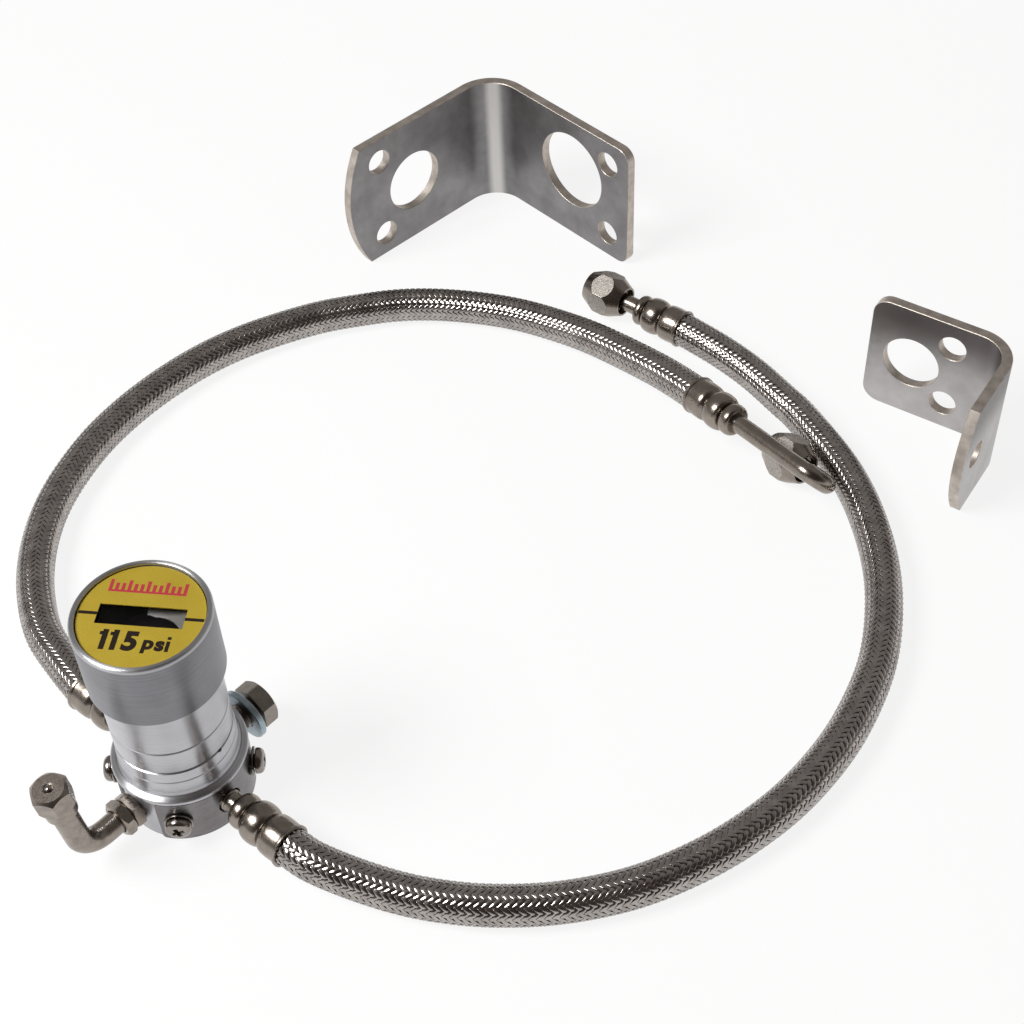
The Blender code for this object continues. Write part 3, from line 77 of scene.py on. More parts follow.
HOSE_RADIUS = 0.00585
PORT_HEIGHT = 0.0097
HOSE_FACE = 0.0437  # where a hose starts, from the unit's axis
HOSE_HEADINGS = {"a": -42.8, "b": 138}
OUTLETS = {"a": Vector((0.1619, 0.1755, 0.0084)), "b": Vector((0.1626, 0.1375, 0.0130))}
OUTLET_HEADINGS = {"a": 139.8, "b": -56.6}
OUTLET_RISES = {"a": 0, "b": 7.4}
ROUTES = {
    "a": [
        (0.0389, -0.0345, 0.0088), (0.0519, -0.0400, 0.0067), (0.0656, -0.0448, 0.0059),
        (0.0807, -0.0482, 0.0059), (0.0959, -0.0494, 0.0059), (0.1100, -0.0487, 0.0059),
        (0.1251, -0.0459, 0.0059), (0.1389, -0.0410, 0.0059), (0.1524, -0.0343, 0.0059),
        (0.1655, -0.0256, 0.0059), (0.1761, -0.0165, 0.0059), (0.1868, -0.0047, 0.0059),
        (0.1948, 0.0067, 0.0059), (0.2025, 0.0209, 0.0059), (0.2073, 0.0338, 0.0059),
        (0.2108, 0.0492, 0.0059), (0.2124, 0.0636, 0.0059), (0.2122, 0.0783, 0.0059),
        (0.2102, 0.0947, 0.0059), (0.2058, 0.1110, 0.0059), (0.1972, 0.1313, 0.0059),
        (0.1924, 0.1396, 0.0059), (0.1838, 0.1532, 0.0062), (0.1741, 0.1640, 0.0074),
    ],
    "b": [
        (-0.0395, 0.0390, 0.0088), (-0.0483, 0.0535, 0.0067), (-0.0534, 0.0700, 0.0059),
        (-0.0552, 0.0851, 0.0059), (-0.0545, 0.1002, 0.0059), (-0.0514, 0.1146, 0.0059),
        (-0.0457, 0.1295, 0.0059), (-0.0391, 0.1419, 0.0059), (-0.0301, 0.1543, 0.0059),
        (-0.0199, 0.1654, 0.0059), (-0.0086, 0.1752, 0.0059), (0.0037, 0.1832, 0.0059),
        (0.0169, 0.1894, 0.0059), (0.0320, 0.1948, 0.0059), (0.0462, 0.1976, 0.0059),
        (0.0606, 0.1992, 0.0059), (0.0751, 0.1984, 0.0059), (0.0910, 0.1950, 0.0060),
        (0.1050, 0.1900, 0.0062), (0.1186, 0.1822, 0.0069), (0.1300, 0.1736, 0.0080),
        (0.1420, 0.1618, 0.0098), (0.1531, 0.1495, 0.0117),
    ],
}
STRANDS = 18  # each way
STRAND_WIDTH = 0.00116
STRAND_CROWN = 0.00022  # height of a strand's middle over its edges
STRAND_WAVE = 0.00018  # rise and fall of a strand over and under the others
BRAID_RADIUS = 0.00552
CORE_RADIUS = 0.00515
WIRES_IN_STRAND = 6  # 0.19 mm wires
INSIDE_FERRULE = 0.0006  # how far the braid runs into a ferrule
SAMPLES_TO_A_POINT = 24  # of the smooth route
TUBE_SIDES = 24
STATIONS_TO_A_TUBE_RING = 4
UP = Vector((0, 0, 1))
PORT_MIDDLE = UP * PORT_HEIGHT


def linear(hex_colour):
    """The sRGB colour as linear red, green, blue and alpha."""
    shares = [int(hex_colour[at:at + 2], 16) / 255 for at in (1, 3, 5)]
    return [s / 12.92 if s <= 0.04045 else ((s + 0.055) / 1.055) ** 2.4 for s in shares] + [1.0]


def set_inputs(node, inputs):
    """Sets a node's inputs to values, or links them to a socket or a node's first output."""
    for key, value in inputs.items():
        if isinstance(value, bpy.types.Node):
            value = value.outputs[0]
        if isinstance(value, bpy.types.NodeSocket):
            node.id_data.links.new(value, node.inputs[key])
        else:
            node.inputs[key].default_value = value


def add_node(tree, kind, inputs, **settings):
    node = tree.nodes.new("ShaderNode" + kind)
    for name, value in settings.items():
        setattr(node, name, value)
    set_inputs(node, inputs)
    return node


def new_material(name):
    material = bpy.data.materials.new(name)
    material.use_nodes = True
    tree = material.node_tree
    return material, tree, tree.nodes["Principled BSDF"]


def object_place(tree):
    return add_node(tree, "TexCoord", {}).outputs["Object"]


def mottle(tree, place, size, detail, roughness=0.5):
    """Uneven patches of about that size."""
    return add_node(tree, "TexNoise", {"Vector": place, "Scale": 1 / size, "Detail": detail,
                                       "Roughness": roughness})


def ranged(tree, value, low, high, first=0.0, last=1.0, easing="LINEAR"):
    """Passes from the first number to the last as the value runs from low to high."""
    return add_node(tree, "MapRange", {"Value": value, 1: low, 2: high, 3: first, 4: last},
                    interpolation_type=easing)


def blend(tree, share, first, last):
    """Passes from the first colour to the last as the share runs from 0 to 1."""
    first, last = (linear(colour) if isinstance(colour, str) else colour for colour in (first, last))
    return add_node(tree, "Mix", {0: share, 6: first, 7: last}, data_type="RGBA").outputs[2]


def worked_out(tree, operation, *values):
    return add_node(tree, "Math", dict(enumerate(values)), operation=operation)


def bump(tree, height, depth, strength=1.0):
    return add_node(tree, "Bump", {"Height": height, "Distance": depth, "Strength": strength})


def moulded_finish(name, dark, light, roughness, size, detail, depth, strength):
    """Rubber or plastic between two shades, with a grain of that size and depth."""
    material, tree, shader = new_material(name)
    grain = mottle(tree, object_place(tree), size, detail)
    set_inputs(shader, {"Base Color": blend(tree, grain, dark, light), "Roughness": roughness,
                        "Normal": bump(tree, grain, depth, strength)})
    return material


def heading_of(degrees, rise=0):
    """Unit vector at that angle about +Z from +X, risen by the other angle."""
    flat = cos(radians(rise))
    return Vector((cos(radians(degrees)) * flat, sin(radians(degrees)) * flat, sin(radians(rise))))


# Drawn stainless wire, laid side by side in each strand: bright and warm, with fine lines along it.
braid_wire, tree, shader = new_material("braided_stainless_wire")
strand_place = add_node(tree, "UVMap", {}, uv_map="strand").outputs["UV"]
across_strand = add_node(tree, "SeparateXYZ", {"Vector": strand_place}).outputs["X"]
wire_round = worked_out(tree, "SINE", worked_out(tree, "MULTIPLY", across_strand, WIRES_IN_STRAND * pi))
wire_height = worked_out(tree, "ABSOLUTE", wire_round)
tarnish = mottle(tree, object_place(tree), 0.004, 3)
set_inputs(shader, {
    "Base Color": blend(tree, ranged(tree, tarnish, 0.35, 0.65), "#9a9490", "#b3ada8"),
    "Metallic": 1.0,
    "Roughness": ranged(tree, tarnish, 0.35, 0.65, 0.16, 0.22),
    "Normal": bump(tree, wire_height, 0.00001, 0.5),
})

# Black rubber tube, only seen in the small gaps of the braid: dull and dark.
core_rubber = moulded_finish("black_rubber_tube", "#0e0d0d", "#1c1a19", 0.75, 0.0006, 2, 0.00003, 0.6)


def smooth_line(points):
    """Many samples of a smooth curve through the points."""
    samples = []
    ends = [2 * points[0] - points[1], *points, 2 * points[-1] - points[-2]]
    for before, first, last, after in zip(ends, ends[1:], ends[2:], ends[3:]):
        for step in range(SAMPLES_TO_A_POINT):
            t = step / SAMPLES_TO_A_POINT
            samples.append(0.5 * (2 * first + (last - before) * t
                                  + (2 * before - 5 * first + 4 * last - after) * t ** 2
                                  + (3 * first - before - 3 * last + after) * t ** 3))
    return samples + [points[-1]]


def frames_along(samples, spacing):
    """Evenly spaced stations of a line: place, direction, and two directions across it."""
    lengths = [0.0]
    for first, last in zip(samples, samples[1:]):
        lengths.append(lengths[-1] + (last - first).length)
    count = round(lengths[-1] / spacing)
    places = []
    index = 0
    for step in range(count + 1):
        wanted = lengths[-1] * step / count
        while index < len(lengths) - 2 and lengths[index + 1] < wanted:
            index += 1
        share = (wanted - lengths[index]) / (lengths[index + 1] - lengths[index])
        places.append(samples[index].lerp(samples[index + 1], share))
    stations = []
    side = UP
    for step, place in enumerate(places):
        direction = (places[min(step + 1, count)] - places[max(step - 1, 0)]).normalized()
        side = (side - direction * side.dot(direction)).normalized()
        stations.append((place, direction, side, direction.cross(side)))
    return stations


def rubber_tube(bm, stations):
    """The closed tube under the braid, in the second material."""
    rings = []
    for place, _, side, other in stations[::STATIONS_TO_A_TUBE_RING] + [stations[-1]]:
        angles = [2 * pi * k / TUBE_SIDES for k in range(TUBE_SIDES)]
        rings.append([bm.verts.new(place + (side * cos(angle) + other * sin(angle)) * CORE_RADIUS)
                      for angle in angles])
    for ring, following in zip(rings, rings[1:]):
        for k in range(TUBE_SIDES):
            face = bm.faces.new((ring[k - 1], ring[k], following[k], following[k - 1]))
            face.material_index = 1
    for end in (rings[0][::-1], rings[-1]):
        bm.faces.new(end).material_index = 1


def strand_ring(bm, station, angle, way, lift):
    """A strand's cross-section at a station: its two edges with its raised middle between them."""
    place, direction, side, other = station
    out = side * cos(angle) + other * sin(angle)
    around = other * cos(angle) - side * sin(angle)
    half_way_across = (around - direction * way).normalized() * (STRAND_WIDTH / 2) * way
    foot = place + out * (BRAID_RADIUS + lift)
    return [bm.verts.new(foot - half_way_across), bm.verts.new(foot + out * STRAND_CROWN),
            bm.verts.new(foot + half_way_across)]


def strand_faces(bm, uv, last_ring, ring, step):
    """The strand's three sides between two stations; U runs across the strand and V along it."""
    for k, (first, last) in enumerate(((0, 0.5), (0.5, 1), (1, 0))):
        after = (k + 1) % 3
        face = bm.faces.new((last_ring[k], last_ring[after], ring[after], ring[k]))
        corners = ((first, step - 1), (last, step - 1), (last, step), (first, step))
        for loop, corner in zip(face.loops, corners):
            loop[uv].uv = corner


def braided_hose(name, stations):
    """The rubber tube and, over it, both ways of strands, in one mesh."""
    bm = bmesh.new()
    uv = bm.loops.layers.uv.new("strand")
    rubber_tube(bm, stations)
    step_angle = pi / STRANDS  # a crossing lies every half strand spacing further on
    for way in (1, -1):
        for strand in range(STRANDS):
            last_ring = None
            for step, station in enumerate(stations):
                angle = way * step * step_angle + strand * 2 * step_angle
                # each strand lies over two and then under two of those that cross it
                over = (step + 2 * strand) % 4 < 2 if way == 1 else (2 * strand - step) % 4 >= 2
                ring = strand_ring(bm, station, angle, way, STRAND_WAVE if over else -STRAND_WAVE)
                if last_ring is None:
                    bm.faces.new(ring)
                else:
                    strand_faces(bm, uv, last_ring, ring, step)
                last_ring = ring
            bm.faces.new(last_ring[::-1])
    bmesh.ops.recalc_face_normals(bm, faces=bm.faces)
    mesh = bpy.data.meshes.new(name)
    bm.to_mesh(mesh)
    bm.free()
    mesh.materials.append(braid_wire)
    mesh.materials.append(core_rubber)
    mesh.shade_smooth()
    mesh.set_sharp_from_angle(angle=radians(75))
    hose = bpy.data.objects.new(name, mesh)
    bpy.context.scene.collection.objects.link(hose)
    return hose


crossing_spacing = pi * HOSE_RADIUS / STRANDS
for letter, name in (("a", "outer_braided_hose"), ("b", "inner_braided_hose")):
    leaving = heading_of(HOSE_HEADINGS[letter])
    arriving = heading_of(OUTLET_HEADINGS[letter], OUTLET_RISES[letter])
    first = leaving * HOSE_FACE + PORT_MIDDLE
    last = OUTLETS[letter]
    line = smooth_line([first, *map(Vector, ROUTES[letter]), last])
    samples = [first - leaving * INSIDE_FERRULE, *line, last + arriving * INSIDE_FERRULE]
    stations = frames_along(samples, crossing_spacing)
    hose = braided_hose(name, stations)
    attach(hose, "valve")
    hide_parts(f"hose_{letter}")


# ------------------------------------------------------------------ table and light
# A pale table top with a soft shadow, and one large soft light from the upper left in a plain
# studio that is darker towards the camera, which gives polished metal its dark flanks.

TABLE_SIZE = 6.0
TABLE_DROP = 0.0002  # the gap that keeps the table top clear of the pieces
SOFTBOX_PLACE = Vector((-0.62, -0.16, 0.92))
SOFTBOX_AIM = Vector((0.08, 0.09, 0.0))
SOFTBOX_SIZE = (0.50, 0.45)
SOFTBOX_POWER = 14

floor_bm = bmesh.new()
bmesh.ops.create_grid(floor_bm, x_segments=8, y_segments=8, size=TABLE_SIZE)
bmesh.ops.translate(floor_bm, vec=(0, 0, -TABLE_DROP), verts=floor_bm.verts)
floor_mesh = bpy.data.meshes.new("table_top")
floor_bm.to_mesh(floor_mesh)
floor_bm.free()
floor = bpy.data.objects.new("table_top", floor_mesh)
bpy.context.scene.collection.objects.link(floor)

# Painted board: plain white. What the camera and reflections see is part bare white, so that the
# table is pale all over and still keeps the object's shadow.
board, tree, shader = new_material("white_painted_board")
board_place = object_place(tree)
set_inputs(shader, {
    "Base Color": blend(tree, mottle(tree, board_place, 0.002, 2), "#f4f4f4", "#f8f8f8"),
    "Roughness": 0.9,
    "Specular IOR Level": 0.0,
})
ray = add_node(tree, "LightPath", {}).outputs
seen = worked_out(tree, "MAXIMUM", ray["Is Camera Ray"], ray["Is Glossy Ray"])
seen = worked_out(tree, "MAXIMUM", seen, ray["Is Transmission Ray"])
far_out = add_node(tree, "VectorMath", {0: board_place}, operation="LENGTH").outputs["Value"]
bare = worked_out(tree, "MULTIPLY", seen, ranged(tree, far_out, 0.35, 1.4, 0.86, 1.0))
white = add_node(tree, "Emission", {"Color": (1, 1, 1, 1), "Strength": 1.0})
board_mix = add_node(tree, "MixShader", {0: bare, 1: shader, 2: white})
tree.links.new(board_mix.outputs[0], tree.nodes["Material Output"].inputs["Surface"])
floor_mesh.materials.append(board)

lamp_data = bpy.data.lights.new("main_softbox", "AREA")
lamp_data.shape = "RECTANGLE"
lamp_data.size, lamp_data.size_y = SOFTBOX_SIZE
lamp_data.energy = SOFTBOX_POWER
lamp = bpy.data.objects.new("main_softbox", lamp_data)
bpy.context.scene.collection.objects.link(lamp)
lamp_turn = (SOFTBOX_AIM - SOFTBOX_PLACE).to_track_quat("-Z", "Y").to_matrix()
lamp.matrix_world = Matrix.Translation(SOFTBOX_PLACE) @ lamp_turn.to_4x4()

# The studio: light at the height of the table's edge, grey overhead and dark behind the camera.
DARK_SIDE = Vector((0.1, -0.82, 0.56)).normalized()
world = bpy.data.worlds.new("plain_studio")
world.use_nodes = True
bpy.context.scene.world = world
tree = world.node_tree
sky = add_node(tree, "TexCoord", {}).outputs["Generated"]
sky_height = add_node(tree, "SeparateXYZ", {"Vector": sky}).outputs["Z"]
dark_side = add_node(tree, "VectorMath", {0: sky, 1: DARK_SIDE}, operation="DOT_PRODUCT").outputs["Value"]
ceiling = blend(tree, ranged(tree, dark_side, 0.35, 0.85, easing="SMOOTHSTEP"),
                (0.30, 0.29, 0.28, 1), (0.07, 0.055, 0.05, 1))
studio = blend(tree, ranged(tree, sky_height, 0.03, 0.16, easing="SMOOTHSTEP"),
               (0.85, 0.85, 0.85, 1), ceiling)
set_inputs(tree.nodes["Background"], {"Color": studio, "Strength": 1.0})
bpy.context.scene.view_settings.view_transform = "Standard"


# ------------------------------------------------------------------ spring housing
# Turned from aluminium bar: a narrow lower part with one groove, and a wider head that carries the
# dial. It screws onto the body's spigot.

HOUSING_LOW = 0.03005
HOUSING_RADIUS = 0.01685
HOUSING_GROOVE_HEIGHT = 0.03855
HOUSING_GROOVE = 0.0004
HOUSING_STEP_HEIGHT = 0.0540
HOUSING_STEP_RISE = 0.0013
HOUSING_TOP_RADIUS = 0.01905
HOUSING_HEIGHT = 0.0785
RIM_WALL = 0.00165
HOUSING_BORE = 0.0147
DIAL_SEAT = 0.0744
POLISHED_RIM = (0.0770, 0.0776)  # heights over which the head's painted shade passes into the rim's painted highlight


def eased(profile, size):
    """The profile of (radius, height) points with each corner rounded over the size."""
    points = [profile[0]]
    for before, corner, after in zip(profile, profile[1:], profile[2:]):
        corner = Vector(corner)
        to_before = Vector(before) - corner
        to_after = Vector(after) - corner
        first = corner + to_before.normalized() * min(size, to_before.length * 0.45)
        last = corner + to_after.normalized() * min(size, to_after.length * 0.45)
        middle = (first + last + 2 * corner) / 4
        points += [tuple(first), tuple(middle), tuple(last)]
    return points + [profile[-1]]


def face_outwards(bm):
    """Turns every face of the closed solid outwards, which the operator alone can get wrong."""
    bmesh.ops.recalc_face_normals(bm, faces=bm.faces)
    if bm.calc_volume(signed=True) < 0:
        bmesh.ops.reverse_faces(bm, faces=bm.faces)


def turned(profile, sides):
    """bmesh of a solid turned about Z from (radius, height) points, which may start or end on Z."""
    bm = bmesh.new()
    points = [bm.verts.new((radius, 0, height)) for radius, height in profile]
    edges = [bm.edges.new(pair) for pair in zip(points, points[1:])]
    if profile[0][0] > 0 or profile[-1][0] > 0:
        edges.append(bm.edges.new((points[-1], points[0])))
    bmesh.ops.spin(bm, geom=points + edges, cent=(0, 0, 0), axis=(0, 0, 1), angle=2 * pi,
                   steps=sides, use_merge=True)
    bmesh.ops.remove_doubles(bm, verts=bm.verts, dist=1e-7)
    bmesh.ops.dissolve_degenerate(bm, dist=1e-8, edges=bm.edges)
    face_outwards(bm)
    return bm


def finish_piece(name, bm, material, slot, body, *nodes, place=None, second=None, sharp=30):
    """Makes the bmesh a piece at its place, on its body, and lets it stand for the CAD nodes."""
    if place:
        bm.transform(place)
    face_outwards(bm)
    mesh = bpy.data.meshes.new(name)
    bm.to_mesh(mesh)
    bm.free()
    mesh.materials.append(material)
    if second:
        mesh.materials.append(second)
    mesh.shade_smooth()
    mesh.set_sharp_from_angle(angle=radians(sharp))
    piece = bpy.data.objects.new(name, mesh)
    bpy.context.scene.collection.objects.link(piece)
    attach(piece, body)
    if nodes:
        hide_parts(*nodes)
    return piece


def metal_finish(name, dark, light, roughness, patch, grain, depth, spread=0.06, streaks=0.0, radial=False):
    """Metal between two shades in patches of that size, with fine marks of that spacing and depth.

    The grain gives the marks' spacing along X, Y and Z, and the streaks how much they show in the
    colour. A radial finish spreads light across its rings, as turned metal does.
    """
    material, tree, shader = new_material(name)
    place = object_place(tree)
    patches = mottle(tree, place, patch, 3, 0.6)
    spaced = add_node(tree, "Mapping", {"Vector": place, "Scale": [1 / size for size in grain]})
    marks = mottle(tree, spaced, 1.0, 3, 0.65)
    share = add_node(tree, "Mix", {0: streaks, 2: ranged(tree, patches, 0.32, 0.68),
                                   3: ranged(tree, marks, 0.35, 0.65)}, data_type="FLOAT")
    set_inputs(shader, {
        "Base Color": blend(tree, share, dark, light),
        "Metallic": 1.0,
        "Roughness": ranged(tree, marks, 0.3, 0.7, roughness - spread, roughness + spread),
        "Normal": bump(tree, marks, depth),
    })
    if radial:
        set_inputs(shader, {"Anisotropic": 0.8, "Anisotropic Rotation": 0.25,
                            "Tangent": add_node(tree, "Tangent", {}, direction_type="RADIAL", axis="Z")})
    return material


def shaded_along(material, measure, low, high, colour, easing="SMOOTHSTEP"):
    """Lets the metal's colour pass into another one where the measure runs from low to high."""
    tree = material.node_tree
    shader = tree.nodes["Principled BSDF"]
    before = shader.inputs["Base Color"].links[0].from_socket
    share = ranged(tree, measure, low, high, easing=easing)
    set_inputs(shader, {"Base Color": blend(tree, share, before, colour)})


def height_on(material):
    """The height above the table, for the material's nodes."""
    tree = material.node_tree
    return add_node(tree, "SeparateXYZ", {"Vector": object_place(tree)}).outputs["Z"]


# Turned aluminium: the tool leaves fine rings about 0.3 mm apart, so light spreads up and down.
turned_aluminium = metal_finish("turned_aluminium", "#a8a8ab", "#cdcdd1", 0.32, 0.012,
                                (0.5, 0.5, 0.0004), 0.000010, streaks=0.7, radial=True)

# The head is the same turned aluminium painted darker, a painted shade; its rim is painted lighter again, a
# painted highlight.
head_aluminium = metal_finish("turned_aluminium_painted_darker", "#707074", "#949498", 0.36, 0.012,
                              (0.5, 0.5, 0.0005), 0.000014, streaks=0.7, radial=True)
shaded_along(head_aluminium, height_on(head_aluminium), *POLISHED_RIM, "#b8b8ba", "LINEAR")

housing_profile = [
    (HOUSING_BORE, (HOUSING_LOW + DIAL_SEAT) / 2),
    (HOUSING_BORE, HOUSING_LOW),
    (HOUSING_RADIUS, HOUSING_LOW),
    (HOUSING_RADIUS, HOUSING_GROOVE_HEIGHT - HOUSING_GROOVE),
    (HOUSING_RADIUS - HOUSING_GROOVE, HOUSING_GROOVE_HEIGHT),
    (HOUSING_RADIUS, HOUSING_GROOVE_HEIGHT + HOUSING_GROOVE),
    (HOUSING_RADIUS, HOUSING_STEP_HEIGHT),
    (HOUSING_TOP_RADIUS, HOUSING_STEP_HEIGHT + HOUSING_STEP_RISE),
    (HOUSING_TOP_RADIUS, HOUSING_HEIGHT - 0.0009),
    (HOUSING_TOP_RADIUS - 0.0002, HOUSING_HEIGHT - 0.0004),
    (HOUSING_TOP_RADIUS - 0.0005, HOUSING_HEIGHT - 0.0001),
    (HOUSING_TOP_RADIUS - 0.0008, HOUSING_HEIGHT),
    (HOUSING_TOP_RADIUS - RIM_WALL + 0.0002, HOUSING_HEIGHT),
    (HOUSING_TOP_RADIUS - RIM_WALL, HOUSING_HEIGHT - 0.0002),
    (HOUSING_TOP_RADIUS - RIM_WALL, DIAL_SEAT),
    (HOUSING_BORE, DIAL_SEAT),
    (HOUSING_BORE, (HOUSING_LOW + DIAL_SEAT) / 2 + 0.001),
]
housing_bm = turned(eased(housing_profile, 0.00012), 160)
# The head takes the darker copy of the aluminium: painted shade.
for face in housing_bm.faces:
    face.material_index = 1 if face.calc_center_median().z > HOUSING_STEP_HEIGHT - 0.0002 else 0
finish_piece("turned_housing", housing_bm, turned_aluminium, "turned_aluminium", "valve",
             "spring_housing", second=head_aluminium)


# ------------------------------------------------------------------ dial
# A printed yellow film on a clear disc, pressed into the housing's head. Through the window the
# black indicator is seen, which the piston carries.

DIAL_RADIUS = 0.0171
LABEL_LOW = 0.0772
LABEL_SHEET = 0.0003
WINDOW_LENGTH = 0.0236
WINDOW_WIDTH = 0.0066
WINDOW_HEADING = -9
LINE_WIDTH = 0.0010
INK = 0.00002  # thickness of the print
RULER_LENGTH = 0.0212
RULER_BASE = 0.0080
RULER_BASE_WIDTH = 0.0007
RULER_SHIFT = -0.0004
MARKS = 13
MARKS_SHARE = 0.955  # of the ruler's length, between its first and last marks
MARK_WIDTH = 0.00095
TALL_MARK, SHORT_MARK = 0.0034, 0.0023
SIGNS = [  # each with its left and right edge, its foot and its top
    ("5", -0.0028, 0.0012, -0.0116, -0.0051),
    ("p", 0.0026, 0.0057, -0.0120, -0.0076),
    ("s", 0.0060, 0.0085, -0.0110, -0.0076),
]
SIGN_STROKES = [  # the ones, each a stroke with a short flag, and the last letter with its dot
    (0.00150, 0.0066, -0.0078, -0.0083), (0.00085, 0.0011, -0.00889, -0.0063),
    (0.00150, 0.0066, -0.0049, -0.0083), (0.00085, 0.0011, -0.00599, -0.0063),
    (0.00100, 0.0034, 0.00935, -0.0093), (0.00100, 0.0009, 0.00935, -0.0066),
]
LENS_LOW = 0.0757
LENS_TOP = 0.0769
CRESCENT_OPENING_RADIUS = 0.0095
CRESCENT_OPENING_PLACE = (0.0010, -0.0063, 0)
CRESCENT_STARTS = 0.0005  # how far right of the middle the crescent is cut off
INDICATOR_RADIUS = 0.0095
INDICATOR_TOP = 0.0675
INDICATOR_SHEET = 0.0020
INDICATOR_HUB = 0.0050
ROD_RADIUS = 0.0028
HUB_RADIUS = 0.0045


def carved(bm, *cutters, operation="DIFFERENCE"):
    """The solid with the cutters taken away, or what it shares with them."""
    blanks = []
    for part in (bm, *cutters):
        face_outwards(part)
        mesh = bpy.data.meshes.new("blank")
        part.to_mesh(mesh)
        part.free()
        blank = bpy.data.objects.new("blank", mesh)
        bpy.context.scene.collection.objects.link(blank)
        blanks.append(blank)
    for cutter in blanks[1:]:
        cut = blanks[0].modifiers.new("cut", "BOOLEAN")
        cut.operation = operation
        cut.solver = "EXACT"
        cut.object = cutter
    result = bmesh.new()
    result.from_object(blanks[0], bpy.context.evaluated_depsgraph_get())
    for blank in blanks:
        bpy.data.objects.remove(blank, do_unlink=True)
    return result


def moved(x, y, z):
    return Matrix.Translation((x, y, z))


def turned_by(degrees):
    """Turn about Z, anticlockwise from above."""
    return Matrix.Rotation(radians(degrees), 4, "Z")


def block(length, width, height, place):
    bm = bmesh.new()
    bmesh.ops.create_cube(bm, size=1)
    bmesh.ops.scale(bm, vec=(length, width, height), verts=bm.verts)
    bm.transform(place)
    return bm


def joined(*parts):
    """The bmeshes as one."""
    whole = bmesh.new()
    for part in parts:
        mesh = bpy.data.meshes.new("part")
        part.to_mesh(mesh)
        part.free()
        whole.from_mesh(mesh)
        bpy.data.meshes.remove(mesh)
    return whole


# Screen-printed polyester film: an even yellow with a faint grain and a low gloss.
yellow_film, tree, shader = new_material("yellow_printed_film")
film_place = object_place(tree)
film_grain = mottle(tree, film_place, 0.0005, 3)
film_tone = worked_out(tree, "MULTIPLY", film_grain, mottle(tree, film_place, 0.012, 2))
set_inputs(shader, {
    "Base Color": blend(tree, ranged(tree, film_tone, 0.12, 0.4), "#a38b22", "#b0992a"),
    "Roughness": 0.42,
    "IOR": 1.5,
    "Normal": bump(tree, film_grain, 0.000006),
})


def ink(name, colour):
    """Printing ink: flat and even, slightly mottled at its edges by the film's grain."""
    material, tree, shader = new_material(name)
    tint = [min(1.0, part * 1.35 + 0.004) for part in linear(colour)[:3]] + [1.0]
    set_inputs(shader, {
        "Base Color": blend(tree, mottle(tree, object_place(tree), 0.0004, 2), colour, tint),
        "Roughness": 0.5,
        "Specular IOR Level": 0.2,
    })
    return material


black_ink = ink("black_printing_ink", "#1a1008")
red_ink = ink("red_printing_ink", "#a0313a")

label_top = LABEL_LOW + LABEL_SHEET
window_turn = turned_by(WINDOW_HEADING)
window_cutter = block(WINDOW_LENGTH, WINDOW_WIDTH, 0.004, moved(0, 0, label_top) @ window_turn)
label_bm = turned([(0, LABEL_LOW), (DIAL_RADIUS, LABEL_LOW), (DIAL_RADIUS, label_top), (0, label_top)], 160)
finish_piece("printed_label", carved(label_bm, window_cutter), yellow_film, "yellow_printed_film",
             "valve", "dial_label")


def printed_block(wide, tall, right, high):
    """Patch of ink whose middle lies that far right of and above the label's middle."""
    return block(wide, tall, INK, window_turn @ moved(right, high, 0))


def finish_print(name, parts, colour):
    finish_piece(name, joined(*parts), colour, "yellow_printed_film", "valve",
                 place=moved(0, 0, label_top + INK / 2))


line_reach = DIAL_RADIUS - WINDOW_LENGTH / 2 - 0.0002
line_middle = WINDOW_LENGTH / 2 + line_reach / 2
finish_print("printed_centre_line",
             [printed_block(line_reach, LINE_WIDTH, side * line_middle, 0) for side in (-1, 1)], black_ink)

# A plain ruler of red marks runs above the window.
ruler = [printed_block(RULER_LENGTH, RULER_BASE_WIDTH, RULER_SHIFT, RULER_BASE)]
for number in range(MARKS):
    tall = TALL_MARK if number % 3 == 0 else SHORT_MARK
    right = RULER_LENGTH * (number / (MARKS - 1) - 0.5) * MARKS_SHARE + RULER_SHIFT
    ruler.append(printed_block(MARK_WIDTH, tall, right, RULER_BASE + RULER_BASE_WIDTH / 2 + tall / 2))
finish_print("printed_scale_marks", ruler, red_ink)


def printed_sign(sign, left, right, low, high):
    """One bold character that fills the box given on the label, in metres from its middle."""
    curve = bpy.data.curves.new("sign", "FONT")
    curve.body = sign
    curve.offset = 0.05
    curve.extrude = 0.5
    curve.shear = 0.04
    text = bpy.data.objects.new("sign", curve)
    bpy.context.scene.collection.objects.link(text)
    mesh = bpy.data.meshes.new_from_object(text.evaluated_get(bpy.context.evaluated_depsgraph_get()))
    bpy.data.objects.remove(text, do_unlink=True)
    bm = bmesh.new()
    bm.from_mesh(mesh)
    bmesh.ops.remove_doubles(bm, verts=bm.verts, dist=1e-5)
    across, up = ([vert.co[axis] for vert in bm.verts] for axis in (0, 1))
    fit = Matrix.Diagonal(((right - left) / (max(across) - min(across)), (high - low) / (max(up) - min(up)),
                           INK, 1))
    bm.transform(window_turn @ moved(left, low, 0) @ fit @ moved(-min(across), -min(up), 0))
    return bm


finish_print("printed_pressure", [printed_sign(*sign) for sign in SIGNS]
             + [printed_block(*stroke) for stroke in SIGN_STROKES], black_ink)

